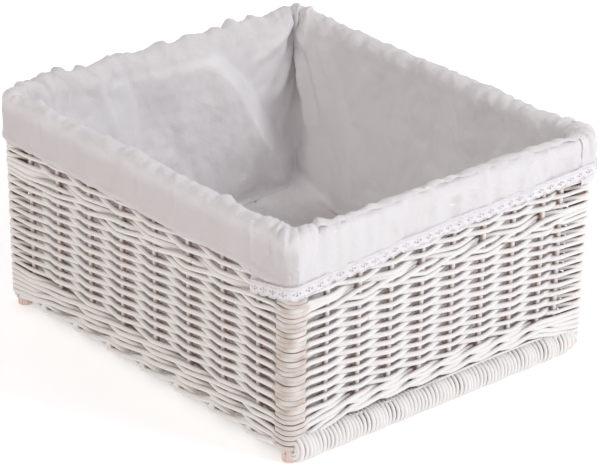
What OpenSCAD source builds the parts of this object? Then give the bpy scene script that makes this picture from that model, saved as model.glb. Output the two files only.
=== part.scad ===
// Rectangular willow basket on four corner posts, with a loose cotton liner folded over its rim.
// Millimetres. The feet stand on Z = 0, the lace side faces -Y and is called the front,
// and the long side of the basket runs along Y.

/* [Overall size] */
// Width over the folded cuff, left to right
basket_w = 349; // [343:1:357]
// Depth over the folded cuff, front to back
basket_d = 400; // [394:1:408]
// Height from the ground to the top of the folded cuff
basket_h = 208; // [206:1:212]
// How far each wall leans out over the full height
flare = 2; // [1:0.5:4]

/* [Willow] */
// Diameter of a corner post
post_d = 13; // [12:0.5:13.5]
// Diameter of an upright stake
stake_d = 5.2; // [4.6:0.2:5.4]
// Diameter of a siding rod
rod_d = 4.3; // [3.9:0.1:4.5]
// Stakes on the front wall, and on the back wall
front_stakes = 8; // [6:1:9]
// Stakes on each side wall
side_stakes = 7; // [5:1:8]
// Distance between neighbouring stakes on the front and back walls
front_pitch = 34.6; // [30:0.1:35]
// Distance between neighbouring stakes on the side walls
side_pitch = 45.4; // [40:0.1:46]
// How far the front and back stakes sit to the left of the middle
front_shift = 6.3; // [4:0.1:8]
// How far the side stakes sit towards the front of the middle
side_shift = 15; // [12:0.1:16]
// Distance from the post to the one extra stake that fills the wide end of each wall
end_stake_gap = 23.5; // [20:0.5:25]

/* [Weave bands] */
// Top of the lower wale, the thick twined rows at the foot of the walls
lower_wale_top = 43; // [40:1:46]
// Top of the lower siding
lower_siding_top = 129; // [122:1:134]
// Top of the upper wale
upper_wale_top = 142; // [138:0.5:146]
// Underside of the rim border
border_z = 191; // [188:1:192]
// Height of the plaited rim border
border_h = 13.5; // [12:0.5:14]

/* [Base] */
// Diameter of the thick stick inside each wrapped rail
rail_d = 16; // [14:0.5:17]
// Diameter over the turns that wrap each rail
wrap_d = 24; // [22:0.5:25]
// Number of base sticks between the two rails
base_sticks_n = 7; // [6:1:8]
// Diameter of a base stick
base_stick_d = 8; // [7:0.5:9]

/* [Liner] */
// Thickness given to the cloth
cloth_t = 1; // [0.8:0.1:1.2]
// Height of the liner's floor above the ground
liner_floor_z = 29; // [26:1:34]
// Depth of the cuff that hangs outside the walls
cuff_depth = 46; // [42:1:52]
// Height of the lace trim
lace_h = 12; // [10:0.5:14]
// Height of the lace trim's lower edge at the left end of the front
lace_left_z = 153; // [150:1:158]
// Height of the lace trim's lower edge at the right end of the front
lace_right_z = 170; // [162:1:172]
// How far the front flap wraps round each front corner
flap_return = 51; // [40:1:58]

/* [Hidden] */

$fn = 48;
// Wall numbers: each wall is drawn as the front wall and turned to its place.
FRONT = 0;
RIGHT = 1;
BACK = 2;
LEFT = 3;
painted = "#ECEAE4";
painted_shade = "#DAD3C6";
bare_wood = "#C9A07A";
cotton = "#E4E2E6";
lace_white = "#F4F3F8";
steel = "#9A9AA0";

// A wall is a stake with one rod passing on each side of it.
wall_half_t = stake_d / 2 + rod_d;
// How deep the rods stand rounded on each face of a wall, outside its solid middle.
rod_relief = 1.7;
core_half_t = wall_half_t - rod_relief;
// Share of its pitch that a rounded rod fills, so that neighbours stay just apart.
rod_fill = 0.98;
// Gap between the outermost willow and the inside of the hanging cuff.
cuff_gap = 1;
// The stakes' own lines at ground level, measured from the middle of the basket.
stake_x0 = basket_w / 2 - cloth_t - cuff_gap - wall_half_t - flare;
stake_y0 = basket_d / 2 - cloth_t - cuff_gap - wall_half_t - flare;
// The posts stand a little inside the stakes' lines, so that rods can run round them.
post_clear = 1.6;
post_inset = wall_half_t - rod_d + post_clear;
post_x0 = stake_x0 - post_inset;
post_y0 = stake_y0 - post_inset;
corner_r = post_d / 2 + rod_d;
wrap_bottom_z = 12;
// The wrapped rails hang just clear of the ground, and the walls start just above them.
rail_clear = 0.3;
wale_rise = 0.4;
rail_z = wrap_d / 2 + rail_clear;
// The rails stand a little proud of the walls.
rail_proud = 1.4;
rail_y = stake_y0 + rail_proud;
rail_half_len = post_x0 - corner_r - 1;
wrap_turn = 3.9;
wale_z = rail_z + wrap_d / 2 + wale_rise;
base_gap = 0.6;
base_half_x = stake_x0 - wall_half_t - base_gap;
base_edge_r = 4.6;
base_edge_x = stake_x0 + 0.5;
base_edge_z = 9;
base_edge_pitch = 9.3;
base_weave_z = 6;
base_weave_h = 14;
base_weave_rods = 60;
base_weave_relief = 1.2;
// The base sticks reach through the twined edges, and their sawn ends just show.
base_stick_half = base_edge_x + base_edge_r + 0.6;
nail_d = 2;
nail_len = 24;
nail_z = 8;
nail_inset = 1.6;
border_in = 8.5;
border_out = wall_half_t + 0.4;
border_bead_in = 0.6;
liner_inset = wall_half_t + 3;
liner_x0 = stake_x0 - liner_inset;
liner_y0 = stake_y0 - liner_inset;
cuff_top_t = 1.2;
cuff_x = basket_w / 2;
cuff_y = basket_d / 2;
big = 600;

// How far the walls have leaned out at height z.
function lean(z) = flare * z / basket_h;
function on_x(wall) = wall == RIGHT || wall == LEFT;
// Distance of a wall's stake line from the middle, and of the wall's end posts from its own middle.
function wall_reach(wall) = on_x(wall) ? stake_x0 : stake_y0;
function wall_posts(wall) = on_x(wall) ? post_y0 : post_x0;
function stake_count(wall) = on_x(wall) ? side_stakes : front_stakes;
function stake_pitch(wall) = on_x(wall) ? side_pitch : front_pitch;
// Local X runs to the right seen from outside. The evenly spaced stakes sit off the middle, away from
// the wide end of the wall, which is on the right of the front and towards the back on the sides.
function wide_end(wall) = wall == FRONT || wall == RIGHT ? 1 : -1;
function stake_shift(wall) = -wide_end(wall) * (on_x(wall) ? side_shift : front_shift);
function stake_at(wall, i) = i == stake_count(wall)
    ? wide_end(wall) * (wall_posts(wall) - end_stake_gap)
    : stake_shift(wall) + stake_pitch(wall) * (i - (stake_count(wall) - 1) / 2);

module on_wall(wall) rotate([0, 0, 90 * wall]) children();

// Everything above the ground, up to a height.
module between(z0, z1) {
    intersection() {
        children();
        translate([-big / 2, -big / 2, z0]) cube([big, big, z1 - z0]);
    }
}

// The leaning frame of a corner post: local Z runs up its middle.
module at_post(sx, sy) {
    turn_y = atan(sx * flare / basket_h);
    turn_x = -atan(sy * flare / basket_h * cos(turn_y));
    translate([sx * post_x0, sy * post_y0, 0]) rotate([turn_x, turn_y, 0]) children();
}

module post_solid(sx, sy, r) {
    at_post(sx, sy) translate([0, 0, -5]) cylinder(r = r, h = basket_h + 20);
}

module corner_post(sx, sy) {
    color(bare_wood) difference() {
        between(0, border_z) post_solid(sx, sy, post_d / 2);
        nail_bores();
    }
}

module wrap_solid(sx, sy) {
    between(wrap_bottom_z, border_z) post_solid(sx, sy, corner_r);
}

// The siding rods as they turn round a post: three quarters of a tube, open towards the inside.
module corner_wrap(sx, sy) {
    color(painted) difference() {
        wrap_solid(sx, sy);
        post_solid(sx, sy, post_d / 2);
        at_post(sx, sy) translate([sx > 0 ? -20 : 0, sy > 0 ? -20 : 0, -10]) cube([20, 20, basket_h + 30]);
    }
}

// What a wall gives up at its two ends so that it meets the corner wraps face to face.
module wall_ends(wall) {
    for (sx = [-1, 1], sy = [-1, 1]) {
        post_solid(sx, sy, corner_r);
        at_post(sx, sy) translate([
            on_x(wall) ? -30 : (sx > 0 ? 0 : -60),
            on_x(wall) ? (sy > 0 ? 0 : -60) : -30,
            -10
        ]) cube([60, 60, basket_h + 30]);
    }
}

// One upright stake of a wall as a solid of radius r, leaning with the wall.
module stake_solid(wall, i, r) {
    tilt = atan(flare / basket_h);
    translate([stake_at(wall, i), -wall_reach(wall), 0]) rotate([tilt, 0, 0]) cylinder(r = r, h = basket_h + 20);
}

module stakes(wall) {
    color(painted_shade) between(wale_z, border_z) on_wall(wall)
        for (i = [0:stake_count(wall)]) stake_solid(wall, i, stake_d / 2);
}

// Outline of a woven band seen from its end: rods stacked on both faces of a leaning core.
module rod_stack(z0, z1, rows) {
    pitch = (z1 - z0) / rows;
    rod_r = pitch / 2 * rod_fill;
    polygon([
        [-lean(z0) - core_half_t, z0], [-lean(z0) + core_half_t, z0],
        [-lean(z1) + core_half_t, z1], [-lean(z1) - core_half_t, z1]
    ]);
    for (row = [0:rows - 1], face = [-1, 1]) {
        z = z0 + (row + 0.5) * pitch;
        translate([face * (wall_half_t - rod_r) - lean(z), z]) circle(r = rod_r);
    }
}

// A woven band between two heights on one wall, with a bore for each stake.
module woven_band(wall, z0, z1, rows, shade) {
    color(shade) difference() {
        on_wall(wall) difference() {
            translate([0, -wall_reach(wall), 0]) rotate([90, 0, 90])
                linear_extrude(height = 2 * wall_posts(wall) + 20, center = true) rod_stack(z0, z1, rows);
            for (i = [0:stake_count(wall)]) stake_solid(wall, i, stake_d / 2);
        }
        wall_ends(wall);
    }
}

module lower_wale(wall) {
    woven_band(wall, wale_z, lower_wale_top, 4, painted);
}
module lower_siding(wall) {
    woven_band(wall, lower_wale_top, lower_siding_top, 20, painted_shade);
}
module upper_wale(wall) {
    woven_band(wall, lower_siding_top, upper_wale_top, 3, painted);
}
module upper_siding(wall) {
    woven_band(wall, upper_wale_top, border_z, 11, painted_shade);
}

// A plaited border bar along the top of one wall. The front and back bars run over the corners.
module rim_border(wall) {
    at_side = on_x(wall);
    y_out = wall_reach(wall) + lean(border_z) + border_out;
    depth = border_in + border_out;
    other = at_side ? stake_y0 : stake_x0;
    half_len = at_side ? other + lean(border_z) - border_in : other + lean(border_z) + border_out;
    bead_r = border_h / 4;
    color(painted) on_wall(wall) translate([0, -y_out + depth / 2, border_z]) rotate([90, 0, 90])
        linear_extrude(height = 2 * half_len, center = true) {
            translate([-depth / 2 + bead_r * border_bead_in, 0])
                square([depth - 2 * bead_r * border_bead_in, border_h]);
            for (x = [-1, 1], z = [1, 3]) translate([x * (depth / 2 - bead_r), z * bead_r]) circle(r = bead_r);
        }
}

module rail_solid(sy) {
    translate([-post_x0, sy * rail_y, rail_z]) rotate([0, 90, 0]) cylinder(d = rail_d, h = 2 * post_x0);
}

// The thick stick at the foot of the front or back wall, coped to the posts and their wraps.
module base_rail(sy) {
    color(bare_wood) difference() {
        rail_solid(sy);
        for (sx = [-1, 1]) {
            post_solid(sx, sy, post_d / 2);
            wrap_solid(sx, sy);
        }
        nail_bores();
    }
}

// The base weavers' turns round a rail, side by side like a close spring.
module rail_wrap(sy) {
    turns = floor(2 * rail_half_len / wrap_turn);
    turn_w = 2 * rail_half_len / turns;
    turn_r = turn_w / 2 * rod_fill;
    color(painted) translate([-rail_half_len, sy * rail_y, rail_z]) rotate([0, 90, 0]) rotate_extrude() difference() {
        union() {
            translate([rail_d / 2, 0]) square([wrap_d / 2 - rail_d / 2 - 1, 2 * rail_half_len]);
            for (i = [0:turns - 1]) translate([wrap_d / 2 - turn_r, (i + 0.5) * turn_w]) circle(r = turn_r);
        }
        translate([0, -1]) square([rail_d / 2, 2 * rail_half_len + 2]);
    }
}

// Straight sticks that run from side to side through the base.
module base_stick_set(r) {
    pitch = 2 * rail_y / (base_sticks_n + 1);
    for (i = [1:base_sticks_n])
        translate([-base_stick_half, -rail_y + i * pitch, base_weave_z + base_weave_h / 2])
            rotate([0, 90, 0]) cylinder(r = r, h = 2 * base_stick_half);
}
module base_sticks() {
    color(bare_wood) base_stick_set(base_stick_d / 2);
}

// The woven base mat, from rail to rail, bored for its sticks and grooved like the rods that cross them.
module base_weave() {
    half_y = rail_y - wrap_d / 2 - 0.5;
    pitch = 2 * base_half_x / base_weave_rods;
    color(painted_shade) difference() {
        translate([0, -half_y, 0]) rotate([-90, 0, 0]) linear_extrude(height = 2 * half_y) {
            translate([-base_half_x, -base_weave_z - base_weave_h + base_weave_relief])
                square([2 * base_half_x, base_weave_h - 2 * base_weave_relief]);
            for (i = [0:base_weave_rods - 1], z = [pitch / 2, base_weave_h - pitch / 2])
                translate([-base_half_x + (i + 0.5) * pitch, -base_weave_z - z]) circle(r = pitch / 2 * rod_fill);
        }
        base_stick_set(base_stick_d / 2);
        for (sx = [-1, 1], sy = [-1, 1]) post_solid(sx, sy, post_d / 2 + 1);
    }
}

// The twined rods that close the base along a side, over the ends of its sticks.
module base_edge(sx) {
    half_len = post_y0 - corner_r;
    color(painted) difference() {
        for (z = [0, 1]) translate([sx * base_edge_x, -half_len, base_edge_z + z * base_edge_pitch])
            rotate([-90, 0, 0]) cylinder(r = base_edge_r, h = 2 * half_len);
        base_stick_set(base_stick_d / 2);
    }
}

// Round wire nails that fix each rail end, driven through the foot of its post from the side.
module nail_set(r, grow) {
    for (sx = [-1, 1], sy = [-1, 1])
        translate([sx * (post_x0 + post_d / 2 + grow), sy * (post_y0 + nail_inset), nail_z])
            rotate([0, -sx * 90, 0]) cylinder(r = r, h = nail_len + grow);
}
module nail_bores() {
    nail_set(nail_d / 2, 1);
}
module rail_nails() {
    color(steel) nail_set(nail_d / 2, 0);
}

// A flat panel of cloth t thick that leans with the walls, between two heights, on one side.
// half_at_zero is the panel's half width at ground level, and it widens with the lean.
module leaning_panel(wall, reach, t, half_at_zero, z0, z1) {
    on_wall(wall) intersection() {
        rotate([90, 0, 90]) linear_extrude(height = big, center = true) polygon([
            [-reach - lean(z0), z0], [-reach - lean(z0) + t, z0],
            [-reach - lean(z1) + t, z1], [-reach - lean(z1), z1]
        ]);
        rotate([90, 0, 0]) linear_extrude(height = big, center = true) polygon([
            [-half_at_zero - lean(z0), z0], [half_at_zero + lean(z0), z0],
            [half_at_zero + lean(z1), z1], [-half_at_zero - lean(z1), z1]
        ]);
    }
}

module liner_floor() {
    fx = liner_x0 + lean(liner_floor_z);
    fy = liner_y0 + lean(liner_floor_z);
    color(cotton) translate([-fx, -fy, liner_floor_z - cloth_t]) cube([2 * fx, 2 * fy, cloth_t]);
}

module liner_wall(wall) {
    at_side = on_x(wall);
    reach = at_side ? liner_x0 : liner_y0;
    half = at_side ? liner_y0 - cloth_t : liner_x0;
    color(cotton) leaning_panel(wall, reach, cloth_t, half, liner_floor_z, basket_h - cuff_top_t);
}

// The strip of liner that lies over the border, from the inside wall to the outside of the cuff.
module cuff_top(wall) {
    at_side = on_x(wall);
    inner = (at_side ? liner_x0 : liner_y0) - cloth_t + lean(basket_h - cuff_top_t);
    outer = at_side ? cuff_x : cuff_y;
    other = at_side ? liner_y0 - cloth_t + lean(basket_h - cuff_top_t) : cuff_x;
    on_wall(wall) translate([-other, -outer, basket_h - cuff_top_t]) cube([2 * other, outer - inner, cuff_top_t]);
}

// A cuff with a level hem on the back or on a side. Side cuffs stop where the front flap begins.
module plain_cuff(wall) {
    hem_z = basket_h - cuff_depth;
    color(cotton) {
        cuff_top(wall);
        if (wall == BACK)
            translate([-cuff_x, cuff_y - cloth_t, hem_z]) cube([2 * cuff_x, cloth_t, cuff_depth - cuff_top_t]);
        else
            translate([wall == RIGHT ? cuff_x - cloth_t : -cuff_x, -cuff_y + flap_return + 0.2, hem_z])
                cube([cloth_t, 2 * cuff_y - flap_return - cloth_t - 0.2, cuff_depth - cuff_top_t]);
    }
}

// Flat outline of the front flap or of its lace, unrolled: the face and its two returns are one strip.
module flap_face(low, high_left, high_right) {
    polygon([
        [-cuff_x, lace_left_z + low], [cuff_x, lace_right_z + low],
        [cuff_x, high_right], [-cuff_x, high_left]
    ]);
}
module flap_strip(low, high_left, high_right) {
    rotate([90, 0, 0]) translate([0, 0, cuff_y - cloth_t]) linear_extrude(height = cloth_t)
        flap_face(low, high_left, high_right);
    for (sx = [-1, 1]) {
        bottom = (sx > 0 ? lace_right_z : lace_left_z) + low;
        top = sx > 0 ? high_right : high_left;
        translate([sx > 0 ? cuff_x - cloth_t : -cuff_x, -cuff_y + cloth_t, bottom])
            cube([cloth_t, flap_return - cloth_t, top - bottom]);
    }
}

module liner_cuff(wall) {
    if (wall == FRONT) {
        color(cotton) {
            cuff_top(FRONT);
            flap_strip(lace_h, basket_h - cuff_top_t, basket_h - cuff_top_t);
        }
    } else {
        plain_cuff(wall);
    }
}

module lace_trim() {
    color(lace_white) flap_strip(0, lace_left_z + lace_h, lace_right_z + lace_h);
}

corner_post(-1, -1);  // corner_post_front_left
corner_post(1, -1);  // corner_post_front_right
corner_post(1, 1);  // corner_post_back_right
corner_post(-1, 1);  // corner_post_back_left
base_rail(-1);  // base_rail_front
base_rail(1);  // base_rail_back
rail_wrap(-1);  // rail_wrap_front
rail_wrap(1);  // rail_wrap_back
base_sticks();
base_weave();
base_edge(-1);  // base_edge_left
base_edge(1);  // base_edge_right
rail_nails();
stakes(FRONT);  // stakes_front
stakes(RIGHT);  // stakes_right
stakes(BACK);  // stakes_back
stakes(LEFT);  // stakes_left
corner_wrap(-1, -1);  // corner_wrap_front_left
corner_wrap(1, -1);  // corner_wrap_front_right
corner_wrap(1, 1);  // corner_wrap_back_right
corner_wrap(-1, 1);  // corner_wrap_back_left
lower_wale(FRONT);  // lower_wale_front
lower_wale(RIGHT);  // lower_wale_right
lower_wale(BACK);  // lower_wale_back
lower_wale(LEFT);  // lower_wale_left
lower_siding(FRONT);  // lower_siding_front
lower_siding(RIGHT);  // lower_siding_right
lower_siding(BACK);  // lower_siding_back
lower_siding(LEFT);  // lower_siding_left
upper_wale(FRONT);  // upper_wale_front
upper_wale(RIGHT);  // upper_wale_right
upper_wale(BACK);  // upper_wale_back
upper_wale(LEFT);  // upper_wale_left
upper_siding(FRONT);  // upper_siding_front
upper_siding(RIGHT);  // upper_siding_right
upper_siding(BACK);  // upper_siding_back
upper_siding(LEFT);  // upper_siding_left
rim_border(FRONT);  // rim_border_front
rim_border(RIGHT);  // rim_border_right
rim_border(BACK);  // rim_border_back
rim_border(LEFT);  // rim_border_left
liner_floor();
liner_wall(FRONT);  // liner_wall_front
liner_wall(RIGHT);  // liner_wall_right
liner_wall(BACK);  // liner_wall_back
liner_wall(LEFT);  // liner_wall_left
liner_cuff(FRONT);  // liner_cuff_front
liner_cuff(RIGHT);  // liner_cuff_right
liner_cuff(BACK);  // liner_cuff_back
liner_cuff(LEFT);  // liner_cuff_left
lace_trim();
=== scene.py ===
"""A lined willow basket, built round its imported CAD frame. Metres, +Z up, lace side towards -Y."""

import math

import bmesh
import bpy
import numpy as np
from mathutils import Matrix, Vector, noise
from mathutils.geometry import delaunay_2d_cdt
from mathutils.kdtree import KDTree


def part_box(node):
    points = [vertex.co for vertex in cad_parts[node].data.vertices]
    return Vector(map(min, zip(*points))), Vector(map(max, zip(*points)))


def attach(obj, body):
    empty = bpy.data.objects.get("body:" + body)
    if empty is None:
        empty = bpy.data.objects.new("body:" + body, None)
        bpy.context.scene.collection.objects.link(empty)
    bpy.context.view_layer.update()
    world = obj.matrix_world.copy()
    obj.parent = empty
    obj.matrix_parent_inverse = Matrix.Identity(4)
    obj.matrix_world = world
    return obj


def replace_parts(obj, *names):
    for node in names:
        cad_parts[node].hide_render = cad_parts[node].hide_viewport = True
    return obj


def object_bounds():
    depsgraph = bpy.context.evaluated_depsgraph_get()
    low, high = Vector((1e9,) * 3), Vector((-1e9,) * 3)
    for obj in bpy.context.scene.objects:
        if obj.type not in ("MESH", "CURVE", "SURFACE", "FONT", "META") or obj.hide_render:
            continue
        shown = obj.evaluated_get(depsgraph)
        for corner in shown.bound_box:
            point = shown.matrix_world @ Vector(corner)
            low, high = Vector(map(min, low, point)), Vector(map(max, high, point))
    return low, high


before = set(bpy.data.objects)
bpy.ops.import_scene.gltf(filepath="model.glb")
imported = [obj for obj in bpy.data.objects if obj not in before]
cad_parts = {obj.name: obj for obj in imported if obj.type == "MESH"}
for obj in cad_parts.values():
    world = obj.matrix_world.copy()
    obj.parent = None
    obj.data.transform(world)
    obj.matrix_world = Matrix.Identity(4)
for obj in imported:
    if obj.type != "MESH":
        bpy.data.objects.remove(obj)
cad_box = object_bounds()

MM = 0.001
TAU = 2 * math.pi
FRONT, RIGHT, BACK, LEFT = range(4)
WALL_NAMES = ("front", "right", "back", "left")
CORNER_SIGNS = ((-1, -1), (1, -1), (1, 1), (-1, 1))


# ---------------------------------------------------------------- sizes from the frame

def stake_places(wall):
    """Where a wall's stakes stand along it, in local X, which runs to the right seen from outside."""
    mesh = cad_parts["stakes_" + WALL_NAMES[wall]].data
    co = np.array([v.co for v in mesh.vertices])
    along = to_local(wall, co)[:, 0]
    order = np.sort(along)
    splits = np.where(np.diff(order) > 10 * MM)[0] + 1
    return np.array([(g.min() + g.max()) / 2 for g in np.split(order, splits)])


def to_local(wall, points):
    """World points to a wall's own frame: x along the wall, y outward, z up."""
    a = math.radians(90 * wall)
    x = points[:, 0] * math.cos(a) + points[:, 1] * math.sin(a)
    y = -points[:, 0] * math.sin(a) + points[:, 1] * math.cos(a)
    return np.stack([x, -y, points[:, 2]], axis=1)


def to_world(wall, points):
    """A wall's own frame back to the world."""
    a = math.radians(90 * wall)
    x, y = points[:, 0], -points[:, 1]
    across, along = x * math.cos(a) - y * math.sin(a), x * math.sin(a) + y * math.cos(a)
    return np.stack([across, along, points[:, 2]], axis=1)


basket_top = cad_box[1].z
post_low, post_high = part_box("corner_post_front_right")
border_low, border_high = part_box("rim_border_front")
stake_low, stake_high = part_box("stakes_front")
side_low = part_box("stakes_right")[0]
STAKE_R = 2.6 * MM
POST_R = 6.5 * MM
ROD_R = 2.2 * MM
FLARE = 2 * MM


def lean(z):
    """How far a wall has leaned out at height z."""
    return FLARE * z / basket_top


stake_y0 = -stake_high.y + STAKE_R - lean(stake_low.z)
stake_x0 = side_low.x + STAKE_R - lean(side_low.z)
post_x0 = post_low.x + POST_R
post_y0 = -post_high.y + POST_R
POST_INSET = stake_x0 - post_x0
REACH = [stake_y0, stake_x0, stake_y0, stake_x0]
HALF = [post_x0, post_y0, post_x0, post_y0]
STAKES = [stake_places(w) for w in range(4)]


# ---------------------------------------------------------------- small helpers

def smoothstep(x, a, b):
    t = np.clip((x - a) / (b - a), 0, 1)
    return t * t * (3 - 2 * t)


def wave(t, seed, octaves=4, base=2):
    """Smooth noise from -1 to 1 round a loop, where t goes from 0 to 1."""
    r = np.random.RandomState(seed)
    total, weight = np.zeros_like(t), 0.0
    for k in range(octaves):
        amp = 1 / (k + 1.2)
        total += amp * np.sin(TAU * ((base + k * 2 + r.randint(0, 2)) * t + r.rand()))
        weight += amp
    return total / weight * 1.4


PRESSED_THIN = 0.6


def squarer(c):
    """Bends a sine or cosine towards a rounded square."""
    return np.sign(c) * np.abs(c) ** 0.62


class Tubes:
    """Collects swept rods into one mesh."""

    def __init__(self):
        self.verts, self.faces, self.paint, self.grime, self.count = [], [], [], [], 0

    def add(self, path, radius, sides=10, closed=False, up=(0, 0, 1), paint=None, flat=None, grime=0.0):
        """Sweep one rod. The paint and flat arguments say where it is painted and pressed flat, and the third
        says where it is dirtied and darkened as painted shade.
        """
        path = np.asarray(path, float)
        n = len(path)
        radius = np.broadcast_to(np.asarray(radius, float), (n,))
        if closed:
            tangent = np.roll(path, -1, 0) - np.roll(path, 1, 0)
        else:
            tangent = np.gradient(path, axis=0)
        tangent /= np.linalg.norm(tangent, axis=1)[:, None] + 1e-12
        up = np.broadcast_to(np.asarray(up, float), (n, 3))
        side = np.cross(tangent, up)
        side /= np.linalg.norm(side, axis=1)[:, None] + 1e-12
        over = np.cross(side, tangent)
        a = np.arange(sides) / sides * TAU

        def section(across, up_and_down):
            return side[:, None] * across[None, :, None] + over[:, None] * up_and_down[None, :, None]

        ring = section(np.cos(a), np.sin(a))
        shape = ring
        if flat is not None:
            # Where flat is 1 the rod is pressed into a band, thinner than it is tall.
            f = np.asarray(flat, float)[:, None, None]
            shape = ring * (1 - f) + section(PRESSED_THIN * squarer(np.cos(a)), squarer(np.sin(a))) * f
        v = path[:, None] + shape * radius[:, None, None]
        self.verts.append(v.reshape(-1, 3))
        self.paint.append(np.ones(n * sides) if paint is None else paint(v, ring).reshape(-1))
        self.grime.append(np.repeat(np.broadcast_to(np.asarray(grime, float), (n,)), sides))
        i = np.arange(n if closed else n - 1)
        j = (i + 1) % n
        k = np.arange(sides)
        m = (k + 1) % sides
        quads = np.stack([(row[:, None] * sides + col[None]).ravel()
                          for row, col in ((i, k), (j, k), (j, m), (i, m))], axis=1)
        self.faces.extend((quads + self.count).tolist())
        if not closed:
            self.faces.append((self.count + k).tolist())
            self.faces.append((self.count + (n - 1) * sides + k).tolist()[::-1])
        self.count += n * sides

    def build(self, name, material, slot, body="basket"):
        mesh = bpy.data.meshes.new(name)
        mesh.from_pydata(np.concatenate(self.verts).tolist(), [], self.faces)
        mesh.shade_smooth()
        for key, values in (("paint", self.paint), ("grime", self.grime)):
            attribute = mesh.attributes.new(key, "FLOAT", "POINT")
            attribute.data.foreach_set("value", np.concatenate(values).astype(np.float32))
        ob = bpy.data.objects.new(name, mesh)
        bpy.context.scene.collection.objects.link(ob)
        fix_normals(ob)
        ob.data.materials.append(material)
        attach(ob, body)
        return ob


def fix_normals(ob):
    bm = bmesh.new()
    bm.from_mesh(ob.data)
    bmesh.ops.recalc_face_normals(bm, faces=bm.faces)
    bm.to_mesh(ob.data)
    bm.free()


# ---------------------------------------------------------------- materials

def new_material(name):
    mat = bpy.data.materials.new(name)
    mat.use_nodes = True
    nt = mat.node_tree
    bsdf = nt.nodes["Principled BSDF"]
    return mat, nt, bsdf


def add_node(nt, kind, **values):
    node = nt.nodes.new(kind)
    for key, value in values.items():
        if key.startswith("_"):
            setattr(node, key[1:], value)
        else:
            node.inputs[key.replace("_", " ")].default_value = value
    return node


def ramp(nt, source, stops):
    node = nt.nodes.new("ShaderNodeValToRGB")
    while len(node.color_ramp.elements) < len(stops):
        node.color_ramp.elements.new(0.5)
    for element, (at, colour) in zip(node.color_ramp.elements, stops):
        element.position = at
        element.color = (*colour, 1)
    nt.links.new(source, node.inputs["Fac"])
    return node.outputs["Color"]


def mix(nt, factor, a, b, mode="MIX"):
    node = nt.nodes.new("ShaderNodeMix")
    node.data_type = "RGBA"
    node.blend_type = mode
    for socket, value in ((node.inputs[0], factor), (node.inputs[6], a), (node.inputs[7], b)):
        if isinstance(value, bpy.types.NodeSocket):
            nt.links.new(value, socket)
        elif isinstance(value, tuple):
            socket.default_value = (*value, 1)
        else:
            socket.default_value = value
    return node.outputs[2]


def math_node(nt, operation, a, b=None, clamp=False):
    node = nt.nodes.new("ShaderNodeMath")
    node.operation = operation
    node.use_clamp = clamp
    for socket, value in ((node.inputs[0], a), (node.inputs[1], b)):
        if isinstance(value, bpy.types.NodeSocket):
            nt.links.new(value, socket)
        elif value is not None:
            socket.default_value = value
    return node.outputs[0]


def object_noise(nt, scale, detail=4.0, stretch=None, roughness=0.55):
    coord = nt.nodes.new("ShaderNodeTexCoord")
    source = coord.outputs["Object"]
    if stretch is not None:
        mapping = nt.nodes.new("ShaderNodeMapping")
        mapping.inputs["Scale"].default_value = stretch
        nt.links.new(source, mapping.inputs["Vector"])
        source = mapping.outputs["Vector"]
    texture = add_node(nt, "ShaderNodeTexNoise", Scale=scale, Detail=detail, Roughness=roughness)
    nt.links.new(source, texture.inputs["Vector"])
    return texture.outputs["Fac"]


def attribute(nt, name):
    """A value that the mesh carries at its points."""
    node = nt.nodes.new("ShaderNodeAttribute")
    node.attribute_name = name
    return node.outputs["Fac"]


def object_height(nt):
    """Height above the ground, in metres."""
    coord = nt.nodes.new("ShaderNodeTexCoord")
    split = nt.nodes.new("ShaderNodeSeparateXYZ")
    nt.links.new(coord.outputs["Object"], split.inputs["Vector"])
    return split.outputs["Z"]


def height_ramp(nt, height, stops):
    """A ramp whose stops are heights in metres."""
    scaled = math_node(nt, "MULTIPLY", height, 1 / RAMP_SPAN)
    return ramp(nt, scaled, [(at / RAMP_SPAN, colour) for at, colour in stops])


def grey(value):
    return (value, value, value)


def darker(colour, *factors):
    return tuple(c * f for c, f in zip(colour, factors * (3 // len(factors))))


def bump(nt, height, strength, distance, bsdf):
    node = add_node(nt, "ShaderNodeBump", Strength=strength, Distance=distance)
    nt.links.new(height, node.inputs["Height"])
    nt.links.new(node.outputs["Normal"], bsdf.inputs["Normal"])


BLACK, WHITE = (0, 0, 0), (1, 1, 1)
RAMP_SPAN = 0.1
PAINT_WHITE = (0.785, 0.772, 0.764)
PAINT_SHADE = (0.69, 0.65, 0.62)
WOOD_BROWN = (0.41, 0.265, 0.235)
WOOD_TAN = (0.58, 0.41, 0.34)
DIRT_AND_SHADE = (0.45, 0.37, 0.32)
BARE_DARK, BARE_MIDDLE, BARE_PALE = (0.50, 0.36, 0.30), (0.70, 0.57, 0.50), (0.80, 0.71, 0.66)
SKIN_DARK, SKIN_PALE = (0.24, 0.13, 0.10), (0.46, 0.29, 0.23)
STEEL_DARK, STEEL_PALE = (0.20, 0.17, 0.15), (0.50, 0.50, 0.52)
COTTON, COTTON_LACE = (0.975, 0.97, 0.985), (0.90, 0.885, 0.91)
COTTON_FLOOR_SHADE, COTTON_SMUDGE, COTTON_THROUGH = (0.44, 0.385, 0.385), (0.66, 0.60, 0.60), (0.94, 0.88, 0.92)


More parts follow.
